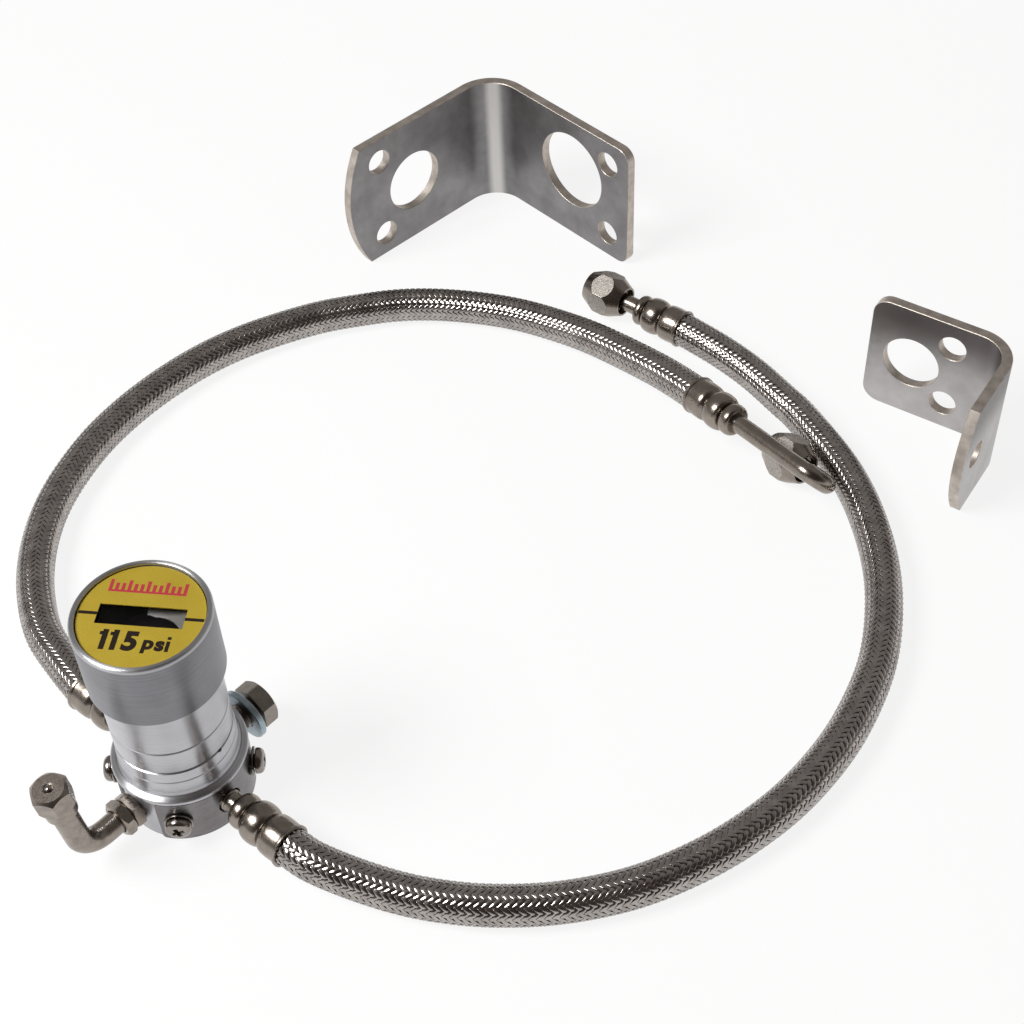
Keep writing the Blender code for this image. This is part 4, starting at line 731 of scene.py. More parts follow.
# Cast acrylic disc: clear and glossy, with faint scratches.
clear_disc, tree, shader = new_material("clear_acrylic")
scratch_place = add_node(tree, "Mapping", {"Vector": object_place(tree),
                                           "Scale": (1 / 0.006, 1 / 0.0003, 200)})
set_inputs(shader, {
    "Base Color": linear("#0d0d0e"),
    "Alpha": 0.16,
    "IOR": 1.49,
    "Roughness": ranged(tree, mottle(tree, scratch_place, 1.0, 3), 0.5, 0.8, 0.02, 0.12),
})
lens_profile = [(0, LENS_LOW), (DIAL_RADIUS, LENS_LOW), (DIAL_RADIUS, LENS_TOP), (0, LENS_TOP)]
finish_piece("clear_dial_disc", turned(eased(lens_profile, 0.0002), 128), clear_disc, "clear_plastic",
             "valve", "dial_lens")

# A crescent below the clear disc shows beyond the indicator. Pale aluminium, a painted highlight that stands
# for the bright reflection on the housing's bore: it has no rings and is rough enough to light up wherever
# the studio's light reaches it through the window.
blasted_aluminium = metal_finish("blasted_aluminium", "#d9d6d3", "#ebe8e5", 0.42, 0.012,
                                 (0.0003, 0.0003, 0.0003), 0.000012)
dish_profile = [(0.0146, 0.0755), (0.0040, 0.0731), (0.0040, 0.0728), (0.0142, 0.0749), (0.0142, 0.0753)]
dish_opening = turned([(0, 0.0700), (CRESCENT_OPENING_RADIUS, 0.0700), (CRESCENT_OPENING_RADIUS, 0.0780),
                       (0, 0.0780)], 128)
dish_opening.transform(moved(*CRESCENT_OPENING_PLACE))
dish_end = block(0.030, 0.040, 0.020, moved(CRESCENT_STARTS - 0.0150, 0, 0.0745))
finish_piece("crescent_below_dial", carved(turned(dish_profile, 128), dish_opening, dish_end),
             blasted_aluminium, "turned_aluminium", "valve")

# Moulded black acetal: even, dark and slightly shiny.
black_acetal = moulded_finish("moulded_black_acetal", "#161213", "#201b1c", 0.38, 0.0009, 2, 0.00001, 1.0)
indicator_low = INDICATOR_TOP - INDICATOR_SHEET
hub_low = INDICATOR_TOP - INDICATOR_HUB
indicator_profile = [
    (0, INDICATOR_TOP), (INDICATOR_RADIUS, INDICATOR_TOP), (INDICATOR_RADIUS, indicator_low),
    (HUB_RADIUS, indicator_low), (HUB_RADIUS, hub_low), (ROD_RADIUS, hub_low), (ROD_RADIUS, indicator_low),
    (0, indicator_low),
]
finish_piece("black_indicator_disc", turned(eased(indicator_profile, 0.0003), 96), black_acetal,
             "black_plastic", "piston", "indicator")


# ------------------------------------------------------------------ valve body
# Turned from aluminium bar: a plain drum with eight side ports under a flange, a neck and a
# shoulder that the housing meets. Two pockets in its chamber take the check valves.

BODY_RADIUS = 0.0183
FLANGE_LOW = 0.0179
FLANGE_RADIUS = 0.0196
CHAMBER_FLOOR = 0.0140
SPIGOT_RADIUS = 0.0144
SPIGOT_TOP = 0.03705
SEAL_GROOVE = (0.03155, 0.03355)
CHAMBER_RADIUS = 0.0124
PASSAGE_RADIUS = 0.0014
PORT_MOUTH = 0.0214  # a cutter's end, past the body's side
POCKET_REACH = 0.0060
BOLT_HEADING = 46
FILL_HEADING = -134
SCREW_HEADINGS = (0, 90, 180, -90)
VENT_HEADING = -34.4
VENT_HEIGHT = 0.0293


def along(start, direction):
    """Placement whose +Z points along the direction, with +X level."""
    up = Vector(direction).normalized()
    side = UP.cross(up)
    side = side.normalized() if side.length > 1e-6 else Vector((1, 0, 0))
    turn = Matrix((side, up.cross(side), up)).transposed()
    return Matrix.Translation(start) @ turn.to_4x4()


def at_port(heading, reach):
    """Placement in a side port: +Z points out of the unit, from the reach given."""
    out = heading_of(heading)
    return along(out * reach + PORT_MIDDLE, out)


def bar(radius, low, high, sides, place):
    """Round bar along the placement's Z, as a cutter."""
    bm = bmesh.new()
    bmesh.ops.create_cone(bm, cap_ends=True, segments=sides, radius1=radius, radius2=radius,
                          depth=high - low, matrix=place @ moved(0, 0, (low + high) / 2))
    return bm


body_profile = [
    (0, 0), (BODY_RADIUS, 0), (BODY_RADIUS, FLANGE_LOW),
    # the flange with its turned top
    (FLANGE_RADIUS, FLANGE_LOW), (FLANGE_RADIUS, FLANGE_LOW + 0.0008),
    (FLANGE_RADIUS - 0.0003, FLANGE_LOW + 0.0012), (0.0179, FLANGE_LOW + 0.0020),
    (0.0178, FLANGE_LOW + 0.0018), (0.0175, FLANGE_LOW + 0.0021), (0.0172, FLANGE_LOW + 0.00295),
    # the neck and the shoulder under the housing
    (0.0172, 0.0252), (0.0169, 0.0255), (0.0169, 0.0291), (0.0156, 0.02975),
    # the spigot with its groove for the seal
    (SPIGOT_RADIUS, 0.02975), (SPIGOT_RADIUS, SEAL_GROOVE[0]), (0.0133, SEAL_GROOVE[0]),
    (0.0133, SEAL_GROOVE[1]), (SPIGOT_RADIUS, SEAL_GROOVE[1]), (SPIGOT_RADIUS, SPIGOT_TOP),
    (CHAMBER_RADIUS, SPIGOT_TOP), (CHAMBER_RADIUS, CHAMBER_FLOOR), (0, CHAMBER_FLOOR),
]
body_cutters = [bar(PASSAGE_RADIUS, PORT_HEIGHT, CHAMBER_FLOOR + 0.0003, 24, Matrix())]
for heading in HOSE_HEADINGS.values():
    pocket = Matrix.Translation(heading_of(heading) * POCKET_REACH)
    body_cutters += [
        bar(0.0037, 0.0118, PORT_MOUTH, 48, at_port(heading, 0)),
        bar(PASSAGE_RADIUS, POCKET_REACH, PORT_MOUTH, 24, at_port(heading, 0)),
        bar(0.0025, 0.0050, CHAMBER_FLOOR + 0.0003, 32, pocket),
    ]
body_cutters += [
    bar(0.0039, 0.0118, PORT_MOUTH, 48, at_port(FILL_HEADING, 0)),
    bar(PASSAGE_RADIUS, 0.0, PORT_MOUTH, 24, at_port(FILL_HEADING, 0)),
    bar(0.00427, 0.0090, PORT_MOUTH, 48, at_port(BOLT_HEADING, 0)),
]
body_cutters += [bar(0.0023, 0.0125, PORT_MOUTH, 32, at_port(heading, 0)) for heading in SCREW_HEADINGS]
body_cutters.append(bar(0.0007, 0.0156, 0.0180, 16, along(UP * VENT_HEIGHT, heading_of(VENT_HEADING))))
body_bm = carved(turned(eased(body_profile, 0.0002), 160), *body_cutters)
finish_piece("turned_valve_body", body_bm, turned_aluminium, "turned_aluminium", "valve", "port_body")


# ------------------------------------------------------------------ port band
# A strip of stainless sheet with punched holes, bent round the ports and open at the fill tube.
# Its corners are rounded; four screws hold it.

BAND_RADIUS = 0.0194
BAND_SHEET = 0.0008
BAND_HEIGHT = 0.0167
BAND_LIFT = 0.0009
BAND_OPENING = (-162, -108)
BAND_CORNER = 0.0012
BAND_PARTS = 130  # facets along the bent strip
BAND_HOLES = [  # heading and radius
    (HOSE_HEADINGS["a"], 0.0040), (HOSE_HEADINGS["b"], 0.0040), (BOLT_HEADING, 0.00457),
    *((heading, 0.0023) for heading in SCREW_HEADINGS),
]


def set_in(loop, distance):
    """The closed loop of (s, z) points moved to its left by the distance."""
    points = []
    count = len(loop)
    for index in range(count):
        before, here, after = (Vector(loop[(index + shift) % count]) for shift in (-1, 0, 1))
        into = (here - before).normalized()
        away = (after - here).normalized()
        left = Vector((-into.y - away.y, into.x + away.x))
        left = left.normalized() / max(0.5, ((1 + into.dot(away)) / 2) ** 0.5)
        points.append(tuple(here + left * distance))
    return points


def ring_of(centre, radius, steps=48):
    """A hole's edge, clockwise, so that its left is in the sheet."""
    return [(centre[0] + radius * cos(-2 * pi * k / steps), centre[1] + radius * sin(-2 * pi * k / steps))
            for k in range(steps)]


def square_corners(first, last, low, high, corner, steps=6):
    """Rectangle with rounded corners, anticlockwise."""
    points = []
    for turn, s, z in ((-90, last, low), (0, last, high), (90, first, high), (180, first, low)):
        middle = Vector((s - corner if s == last else s + corner, z + corner if z == low else z - corner))
        for step in range(steps + 1):
            angle = radians(turn + 90 * step / steps)
            points.append((middle.x + corner * cos(angle), middle.y + corner * sin(angle)))
    return points


def sheet_blank(loops, thickness, easing, cuts):
    """Flat sheet with an outline and holes, its edges eased, cut across at the s values given."""
    bm = bmesh.new()
    caps = {0: [], 1: []}
    levels = ((0, easing), (easing, 0), (thickness - easing, 0), (thickness, easing))
    for loop in loops:
        rows = []
        for depth, inward in levels:
            points = set_in(loop, inward) if inward else loop
            rows.append([bm.verts.new((s, depth, z)) for s, z in points])
        for row, following in zip(rows, rows[1:]):
            for k in range(len(loop)):
                face = bm.faces.new((row[k - 1], row[k], following[k], following[k - 1]))
                face.material_index = 1
        for cap, row in ((0, rows[0]), (1, rows[-1])):
            caps[cap] += [bm.edges.get((row[k - 1], row[k])) for k in range(len(loop))]
    for edges in caps.values():
        bmesh.ops.triangle_fill(bm, edges=edges, use_beauty=True)
    for s in cuts:
        bmesh.ops.bisect_plane(bm, geom=bm.verts[:] + bm.edges[:] + bm.faces[:], dist=1e-8,
                               plane_co=(s, 0, 0), plane_no=(1, 0, 0))
    return bm


# Cold-rolled stainless strip: darker than the aluminium, smooth, with faint lines along the band.
band_steel = metal_finish("cold_rolled_stainless_strip", "#6d696a", "#858182", 0.26, 0.006,
                          (0.02, 0.02, 0.0004), 0.000004, streaks=0.4, radial=True)

band_sweep = 360 - (BAND_OPENING[1] - BAND_OPENING[0])
band_length = radians(band_sweep) * BAND_RADIUS


def on_band(heading):
    """How far along the strip a port's heading lies."""
    return radians((heading - BAND_OPENING[1]) % 360) * BAND_RADIUS


band_loops = [square_corners(0, band_length, BAND_LIFT, BAND_LIFT + BAND_HEIGHT, BAND_CORNER)]
band_loops += [ring_of((on_band(heading), PORT_HEIGHT), radius) for heading, radius in BAND_HOLES]
band_cuts = [band_length * step / BAND_PARTS for step in range(1, BAND_PARTS)]
band_bm = sheet_blank(band_loops, BAND_SHEET, 0.00012, band_cuts)
for vert in band_bm.verts:
    along_strip, depth, height = vert.co
    angle = radians(BAND_OPENING[1]) + along_strip / BAND_RADIUS
    radius = BAND_RADIUS - BAND_SHEET + depth
    vert.co = (radius * cos(angle), radius * sin(angle), height)
finish_piece("stainless_port_band", band_bm, band_steel, "stainless_band", "valve", "port_band",
             second=band_steel)


# ------------------------------------------------------------------ band screws
# Four pan-head steel screws with a cross recess clamp the band, each over a plain washer. Both are
# cold formed and nickel plated.

SCREW_HEAD_REACH = 0.0206
SCREW_HEAD = 0.0026
WASHER_REACH = 0.0197
RECESS_DEPTH = 0.0020
RECESS_NARROWING = 0.34
RECESS_TURNS = (20, 110)

# Nickel-plated steel: a warm, bright and even mirror with faint handling marks.
plated_steel = metal_finish("nickel_plated_steel", "#857e79", "#9b948e", 0.20, 0.004,
                            (0.0005, 0.0005, 0.0005), 0.000006)

screw_profile = [
    (0, -0.0078), (0.0020, -0.0078), (0.0020, 0),
    (0.0036, 0), (0.0038, 0.0002), (0.0038, 0.0010), (0.0035, 0.0018), (0.0029, 0.0023),
    (0.0020, SCREW_HEAD - 0.0001), (0, SCREW_HEAD + 0.0001),
]
washer_profile = [(0.0033, 0), (0.0042, 0), (0.0042, 0.0006), (0.0023, 0.0006), (0.0023, 0), (0.0032, 0)]
for number, heading in enumerate(SCREW_HEADINGS, 1):
    recess = []
    for degrees in RECESS_TURNS:
        slot_bm = bmesh.new()
        bmesh.ops.create_cone(slot_bm, cap_ends=True, segments=4, radius1=0.0011, radius2=0.0032,
                              depth=RECESS_DEPTH, matrix=turned_by(45))
        bmesh.ops.scale(slot_bm, vec=(1.0, RECESS_NARROWING, 1.0), verts=slot_bm.verts)
        slot_bm.transform(moved(0, 0, SCREW_HEAD - 0.0006) @ turned_by(degrees))
        recess.append(slot_bm)
    screw_bm = carved(turned(eased(screw_profile, 0.0003), 64), *recess)
    finish_piece(f"pan_head_screw_{number}", screw_bm, plated_steel, "screw_steel", "valve",
                 f"band_screw_{number}", place=at_port(heading, SCREW_HEAD_REACH))
    finish_piece(f"plain_washer_{number}", turned(eased(washer_profile, 0.00012), 64), plated_steel,
                 "screw_steel", "valve", f"band_washer_{number}", place=at_port(heading, WASHER_REACH))


# ------------------------------------------------------------------ mounting bolt and lock washer
# Hexagon bolt of steel with a chamfered head, screwed into a side port so that a bracket can be
# clamped under it. A split spring washer, zinc plated, hangs loose on its shank.

BOLT_ACROSS_FLATS = 0.0127
BOLT_HEAD = 0.0050
BOLT_REACH = 0.0260
BOLT_RADIUS = 0.00397
BOLT_FLOOR = 0.0093
THREAD_DEPTH = 0.0006
THREAD_PITCH = 0.00127
WASHER_OUTSIDE = 0.0083
WASHER_SECTION = 0.0020
WASHER_EASING = 0.00025
WASHER_SWEEP = 346
WASHER_SPRING = 0.0010  # how far its ends stand apart
WASHER_PARTS = 88
LOCK_WASHER_REACH = 0.0218


def corner_of(across_flats):
    """Radius of a turned outline that just clears a hexagon's corners."""
    return across_flats / 3 ** 0.5 + 0.0003


def hexagon(across_flats, outline):
    """Hexagon bar along Z, flats up and down, trimmed to a turned outline of (radius, height)."""
    low, high = outline[0][1] - 0.001, outline[-1][1] + 0.001
    bm = bmesh.new()
    bmesh.ops.create_cone(bm, cap_ends=True, segments=6, depth=high - low,
                          radius1=across_flats / 3 ** 0.5, radius2=across_flats / 3 ** 0.5,
                          matrix=moved(0, 0, (low + high) / 2))
    corners = [edge for edge in bm.edges if abs(edge.verts[0].co.z - edge.verts[1].co.z) > 1e-6]
    bmesh.ops.bevel(bm, geom=corners, offset=0.00018, segments=3, profile=0.5, affect="EDGES",
                    material=-1)
    trim = turned([(0, outline[0][1]), *outline, (0, outline[-1][1])], 96)
    return carved(bm, trim, operation="INTERSECT")


# Plain steel, oiled: satin, brown-grey, with fine scratches from the header and the spanner.
bolt_steel = metal_finish("oiled_plain_steel", "#8a827b", "#9a928a", 0.36, 0.003,
                          (0.0004, 0.0004, 0.0004), 0.000010)

bolt_corner = corner_of(BOLT_ACROSS_FLATS)
bolt_end = BOLT_ACROSS_FLATS / 2 - 0.0004
bolt_chamfer = (bolt_corner - bolt_end) * 0.55
head_bm = hexagon(BOLT_ACROSS_FLATS, [(bolt_corner, 0), (bolt_corner, BOLT_HEAD - bolt_chamfer),
                                      (bolt_end, BOLT_HEAD)])
shank_low = BOLT_FLOOR - BOLT_REACH
thread_root = BOLT_RADIUS - THREAD_DEPTH
turns = int((BOLT_REACH - BOLT_FLOOR) / THREAD_PITCH)
shank_profile = [(0, shank_low)]
for turn in range(turns):
    low = shank_low + turn * THREAD_PITCH
    shank_profile += [(thread_root, low), (BOLT_RADIUS, low + THREAD_PITCH * 0.45),
                      (BOLT_RADIUS, low + THREAD_PITCH * 0.55)]
shank_profile += [(thread_root, shank_low + turns * THREAD_PITCH), (thread_root, 0.0010), (0, 0.0010)]
finish_piece("hexagon_bolt", joined(head_bm, turned(shank_profile, 64)), bolt_steel, "screw_steel", "bolt",
             "mounting_bolt", place=at_port(BOLT_HEADING, BOLT_REACH))

# Zinc plate: cool blue-white with a soft shine.
zinc = metal_finish("zinc_plated_spring_steel", "#8b9aa2", "#a8b6bd", 0.34, 0.003,
                    (0.0004, 0.0004, 0.0004), 0.000008)
washer_bm = bmesh.new()
inside = BOLT_RADIUS + 0.0003
section = []
for (r, z), (dr, dz) in (((inside, 0), (1, 1)), ((WASHER_OUTSIDE, 0), (-1, 1)),
                         ((WASHER_OUTSIDE, WASHER_SECTION), (-1, -1)), ((inside, WASHER_SECTION), (1, -1))):
    ends = [(r + dr * WASHER_EASING, z), (r, z + dz * WASHER_EASING)]
    section += ends if dr * dz < 0 else ends[::-1]
section_face = washer_bm.faces.new([washer_bm.verts.new((r, 0, z)) for r, z in section])
bmesh.ops.spin(washer_bm, geom=[section_face], cent=(0, 0, 0), axis=(0, 0, 1),
               dvec=(0, 0, WASHER_SPRING / WASHER_PARTS), angle=radians(WASHER_SWEEP), steps=WASHER_PARTS)
finish_piece("split_lock_washer", washer_bm, zinc, "zinc_plated_steel", "bolt", "lock_washer",
             place=at_port(BOLT_HEADING, LOCK_WASHER_REACH) @ turned_by(-60))


# ------------------------------------------------------------------ hose fittings
# Nickel-plated brass: a turned nipple screws into the valve, and each hose end is held by a ferrule
# crimped in two places. The far ends carry the stems.

FERRULE_LENGTH = 0.0155
SLEEVE_RADIUS = 0.0066
SLEEVE_LENGTH = 0.0085
BULGE_RADIUS = 0.0065
WAIST_RADIUS = 0.0050
TAIL_RADIUS = 0.0023
RING_RADIUS = 0.0055
RING_LENGTH = 0.0046
NIPPLE_BORE = 0.0012
RING_REACH = 0.0230
STEM_RADIUS = 0.0030
CLEAR = 0.0003
NIPPLE_THREAD_LOW = 0.0124
NIPPLE_THREAD_PITCH = 0.0009
NIPPLE_THREAD_TURNS = 9
NIPPLE_ROOT, NIPPLE_CREST = 0.0031, 0.0034

# Nickel plate over turned brass: warm grey, almost a mirror, softened by fine polishing marks.
nickel_plate = metal_finish("nickel_plated_brass", "#857c74", "#9a9188", 0.24, 0.005,
                            (0.0006, 0.0006, 0.0006), 0.000005, spread=0.05)


def rounded(low, high, foot, top, steps, fullness):
    """Points of a rounded swelling between two heights, from its foot's radius to its top's.

    It is a half circle at a fullness of 1, and squarer below that.
    """
    points = []
    for step in range(steps + 1):
        angle = pi * step / steps
        points.append((foot + (top - foot) * sin(angle) ** fullness,
                       low + (high - low) * (1 - cos(angle)) / 2))
    return points


def threaded(low, pitch, turns, first, last):
    """Points of a fine thread: each turn goes from the first radius to the last."""
    starts = [low + turn * pitch for turn in range(turns)]
    return [point for start in starts for point in ((first, start), (last, start + pitch / 2))]


# Crimped socket: its +Z points from the hose to the fitting. The sleeve's radius changes a little
# along its height, with the light waist that the crimping leaves in its middle.
SLEEVE = [
    (0, 0), (0.00015, 0.0002), (0.0001, 0.0008), (-0.0002, 0.0012), (-0.00025, 0.0020), (-0.00015, 0.0040),
    (-0.0002, 0.0060), (-0.0004, 0.0071), (-0.0009, 0.0078),
]
ferrule_profile = [
    (TAIL_RADIUS + CLEAR, 0.0012), (HOSE_RADIUS + 0.0001, 0.0012), (HOSE_RADIUS + 0.0001, 0),
    *((SLEEVE_RADIUS + offset, height) for offset, height in SLEEVE), (WAIST_RADIUS + 0.0001, 0.0083),
    *rounded(SLEEVE_LENGTH, FERRULE_LENGTH - 0.0002, WAIST_RADIUS, BULGE_RADIUS, 16, 0.9),
    (WAIST_RADIUS - 0.0006, FERRULE_LENGTH), (TAIL_RADIUS + CLEAR, FERRULE_LENGTH),
]


def ring_profile(low, length=RING_LENGTH):
    return rounded(low, low + length, RING_RADIUS - 0.0015, RING_RADIUS, 14, 0.75)


nipple_profile = [
    (NIPPLE_BORE, 0.0200), (NIPPLE_BORE, 0.0121), (NIPPLE_CREST, 0.0121),
    *threaded(NIPPLE_THREAD_LOW, NIPPLE_THREAD_PITCH, NIPPLE_THREAD_TURNS, NIPPLE_ROOT, NIPPLE_CREST),
    (NIPPLE_ROOT, 0.0207), (NIPPLE_ROOT, RING_REACH - 0.0001), *ring_profile(RING_REACH),
    (TAIL_RADIUS, RING_REACH + RING_LENGTH), (TAIL_RADIUS, HOSE_FACE - CLEAR),
    (NIPPLE_BORE, HOSE_FACE - CLEAR),
]
for letter, word in (("a", "outer"), ("b", "inner")):
    leaving = heading_of(HOSE_HEADINGS[letter])
    arriving = heading_of(OUTLET_HEADINGS[letter], OUTLET_RISES[letter])
    face = leaving * (HOSE_FACE - CLEAR) + PORT_MIDDLE
    for end, profile, place in (
            ("inlet_ferrule", ferrule_profile, along(face, -leaving)),
            ("outlet_ferrule", ferrule_profile, along(OUTLETS[letter], arriving)),
            ("nipple", nipple_profile, at_port(HOSE_HEADINGS[letter], 0))):
        finish_piece(f"{word}_hose_{end}", turned(profile, 96), nickel_plate, "nickel_plated_brass",
                     "valve", f"hose_{letter}_{end}", place=place)


# ------------------------------------------------------------------ straight stem of the outer hose
# One turned piece: a barbed tail inside the hose, a rounded collar, and a short tube whose flange
# holds the swivel nut.

NUT_LENGTH = 0.0155
NUT_BACK_WALL = 0.0034
FLANGE_RADIUS_OF_STEM = 0.0043
FLANGE_THICKNESS = 0.0020
STEM_LENGTH = 0.0047  # from where a full collar would end to the nut
NARROW_RING = 0.0032
flange_front = NUT_LENGTH - NUT_BACK_WALL - CLEAR - FLANGE_THICKNESS
ring_face = FERRULE_LENGTH + CLEAR + RING_LENGTH
direction_a = heading_of(OUTLET_HEADINGS["a"])
nut_a_mouth = ring_face + STEM_LENGTH + NUT_LENGTH
flange_a = nut_a_mouth - flange_front
ring_low = FERRULE_LENGTH + CLEAR
stem_profile = [
    (NIPPLE_BORE, flange_a / 2), (NIPPLE_BORE, 0), (TAIL_RADIUS, 0), (TAIL_RADIUS, ring_low),
    *ring_profile(ring_low, NARROW_RING),
    (STEM_RADIUS, ring_low + NARROW_RING), (STEM_RADIUS, flange_a - FLANGE_THICKNESS),
    (FLANGE_RADIUS_OF_STEM, flange_a - FLANGE_THICKNESS), (FLANGE_RADIUS_OF_STEM, flange_a),
    (NIPPLE_BORE, flange_a), (NIPPLE_BORE, flange_a / 2 + 0.001),
]
finish_piece("straight_stem", turned(stem_profile, 96), nickel_plate, "nickel_plated_brass", "valve",
             "hose_a_stem", place=along(OUTLETS["a"], direction_a))


# ------------------------------------------------------------------ return-bend stem of the inner hose
# A brass tube bent back through 180 degrees, nickel plated, with a turned collar at the ferrule and
# a flange inside the nut.

BEND_START = 0.0316
BEND_RADIUS = 0.0060
NUT_B_START = 0.0092
TUBE_START = 0.0005  # how far the bent tube starts inside its collar
direction_b = heading_of(OUTLET_HEADINGS["b"], OUTLET_RISES["b"])
side_b = Vector((0.595, 0.276, -0.755))
side_b = (side_b - direction_b * side_b.dot(direction_b)).normalized()
ring_face_b = OUTLETS["b"] + direction_b * ring_face


def bent_bar(radius, sides, place, moves):
    """Round bar that starts as a disc at the placement: each move is a run or a bend.

    A run is (vector,), and a bend is (centre, axis, angle, steps).
    """
    bm = bmesh.new()
    bmesh.ops.create_circle(bm, cap_ends=True, radius=radius, segments=sides, matrix=place)
    end = bm.faces[:]
    for move in moves:
        if len(move) == 1:
            grown = bmesh.ops.extrude_face_region(bm, geom=end)["geom"]
            corners = [part for part in grown if isinstance(part, bmesh.types.BMVert)]
            bmesh.ops.translate(bm, vec=move[0], verts=corners)
        else:
            centre, axis, angle, steps = move
            grown = bmesh.ops.spin(bm, geom=end, cent=centre, axis=axis, angle=angle,
                                   steps=steps)["geom_last"]
        end = [part for part in grown if isinstance(part, bmesh.types.BMFace)]
    # the discs left inside between two moves share each of their edges with both moves' sides
    discs = [face for face in bm.faces if all(len(edge.link_faces) > 2 for edge in face.edges)]
    bmesh.ops.delete(bm, geom=discs, context="FACES_ONLY")
    return bm


bend_centre = ring_face_b + direction_b * BEND_START + side_b * BEND_RADIUS
nut_b_mouth = ring_face_b + direction_b * NUT_B_START + side_b * 2 * BEND_RADIUS
leg_back = -direction_b * (BEND_START - NUT_B_START - flange_front)
tube_bm = bent_bar(STEM_RADIUS, 64, along(ring_face_b - direction_b * TUBE_START, direction_b), [
    (direction_b * (BEND_START + TUBE_START),),
    (bend_centre, direction_b.cross(-side_b), -pi, 48),
    (leg_back,),
])
collar_profile = [(0, 0), (TAIL_RADIUS, 0), (TAIL_RADIUS, ring_low), *ring_profile(ring_low),
                  (0.0026, ring_face), (0, ring_face)]
collar_bm = turned(collar_profile, 96)
collar_bm.transform(along(OUTLETS["b"], direction_b))
flange_bm = turned([(0, 0), (FLANGE_RADIUS_OF_STEM, 0), (FLANGE_RADIUS_OF_STEM, FLANGE_THICKNESS),
                    (0, FLANGE_THICKNESS)], 64)
flange_bm.transform(along(nut_b_mouth + direction_b * flange_front, direction_b))
finish_piece("return_bend_stem", joined(tube_bm, collar_bm, flange_bm), nickel_plate,
             "nickel_plated_brass", "valve", "hose_b_stem")


# ------------------------------------------------------------------ swivel nuts
# Hexagon brass nuts, nickel plated, with both ends turned to a steep cone that leaves only a small
# flat in the middle of each side. They turn on the stems' flanges.

NUT_ACROSS_FLATS = 0.0143
NUT_END_RADIUS = 0.0054
NUT_CHAMFER_SLOPE = 0.49
NUT_MOUTH_RADIUS = 0.0041
NUT_CAVITY = 0.0032
NUT_THREAD_LOW = 0.0006
NUT_THREAD_PITCH = 0.0008
NUT_THREAD_TURNS = 9
NUT_THREAD_DEPTH = 0.0004

# The bar's drawn flats stay rough under the plate and catch the light all over.
rough_flat = metal_finish("nickel_plate_on_drawn_brass", "#837d77", "#cdc7c0", 0.56, 0.0006,
                          (0.0005, 0.0005, 0.0004), 0.00022, spread=0.12, streaks=0.5)


def chamfered(across_flats, low, high, end_radius, slope):
    """Outline of a hexagon whose two ends are turned to a cone, past its corners in the middle."""
    corner = corner_of(across_flats)
    depth = (corner - end_radius) / slope
    return [(end_radius, low), (corner, low + depth), (corner, high - depth), (end_radius, high)]


def swivel_nut(name, letter, place):
    """Nut from its mouth at the bottom to the hole for the stem at its top, rough on its flats."""
    cavity_high = NUT_LENGTH - NUT_BACK_WALL
    cavity_low = cavity_high - NUT_CAVITY
    mouth = NUT_MOUTH_RADIUS + 0.0004
    bore = [
        (0, -0.001), (mouth, -0.001), (mouth, 0), (NUT_MOUTH_RADIUS, 0.0004),
        *threaded(NUT_THREAD_LOW, NUT_THREAD_PITCH, NUT_THREAD_TURNS, NUT_MOUTH_RADIUS,
                  NUT_MOUTH_RADIUS - NUT_THREAD_DEPTH),
        (NUT_MOUTH_RADIUS, cavity_low), (FLANGE_RADIUS_OF_STEM + CLEAR, cavity_low),
        (FLANGE_RADIUS_OF_STEM + CLEAR, cavity_high), (STEM_RADIUS + CLEAR, cavity_high),
        (STEM_RADIUS + CLEAR, NUT_LENGTH - 0.0024), (STEM_RADIUS + 0.0012, NUT_LENGTH - 0.0022),
        (STEM_RADIUS + 0.0018, NUT_LENGTH + 0.0002), (STEM_RADIUS + 0.0018, NUT_LENGTH + 0.001),
        (0, NUT_LENGTH + 0.001),
    ]
    outline = chamfered(NUT_ACROSS_FLATS, 0, NUT_LENGTH, NUT_END_RADIUS, NUT_CHAMFER_SLOPE)
    nut_bm = carved(hexagon(NUT_ACROSS_FLATS, outline), turned(bore, 96))
    nut_bm.normal_update()
    for face in nut_bm.faces:
        middle = face.calc_center_median()
        outwards = Vector((face.normal.x, face.normal.y, 0))
        on_flat = abs(face.normal.z) < 0.02 and middle.xy.length > NUT_ACROSS_FLATS * 0.46
        face.material_index = 1 if on_flat and outwards.dot(middle) > 0 and face.calc_area() > 2e-5 else 0
    finish_piece(name, nut_bm, nickel_plate, "nickel_plated_brass", f"nut_{letter}",
                 f"swivel_nut_{letter}", place=place, second=rough_flat, sharp=20)


swivel_nut("swivel_nut_of_straight_stem", "a",
           along(OUTLETS["a"] + direction_a * nut_a_mouth, -direction_a))
swivel_nut("swivel_nut_of_return_bend", "b", along(nut_b_mouth, direction_b))


# ------------------------------------------------------------------ fill tube, nut and cap
# A bent brass tube with a valve core in its end, held in its port by a hexagon nut. The cap is a
# hexagon at the top and turned down below, with a pin in the middle that opens the core.

FILL_TUBE_RADIUS = 0.0036
FILL_BEND_START = 0.0296
FILL_BEND_RADIUS = 0.0080
FILL_LEAN = 6
FILL_LEG = 0.0237
FILL_NUT_REACH = 0.0187
FILL_NUT_LENGTH = 0.0066
FILL_NUT_ACROSS_FLATS = 0.0100
FILL_NUT_SPLIT = 0.0031  # height of the fine line between its two halves
FILL_NUT_TWIST = 18
CAP_FACE = 0.0032
CAP_LENGTH = 0.0123
CAP_HEXAGON = 0.0060
CAP_ACROSS_FLATS = 0.0100
CAP_FOOT_RADIUS = 0.0046
CAP_FACE_RADIUS = 0.0044
CAP_PIN_HEAD = 0.00105
CAP_PIN_RADIUS = 0.00045
CAP_PIN_COLLAR = 0.0014

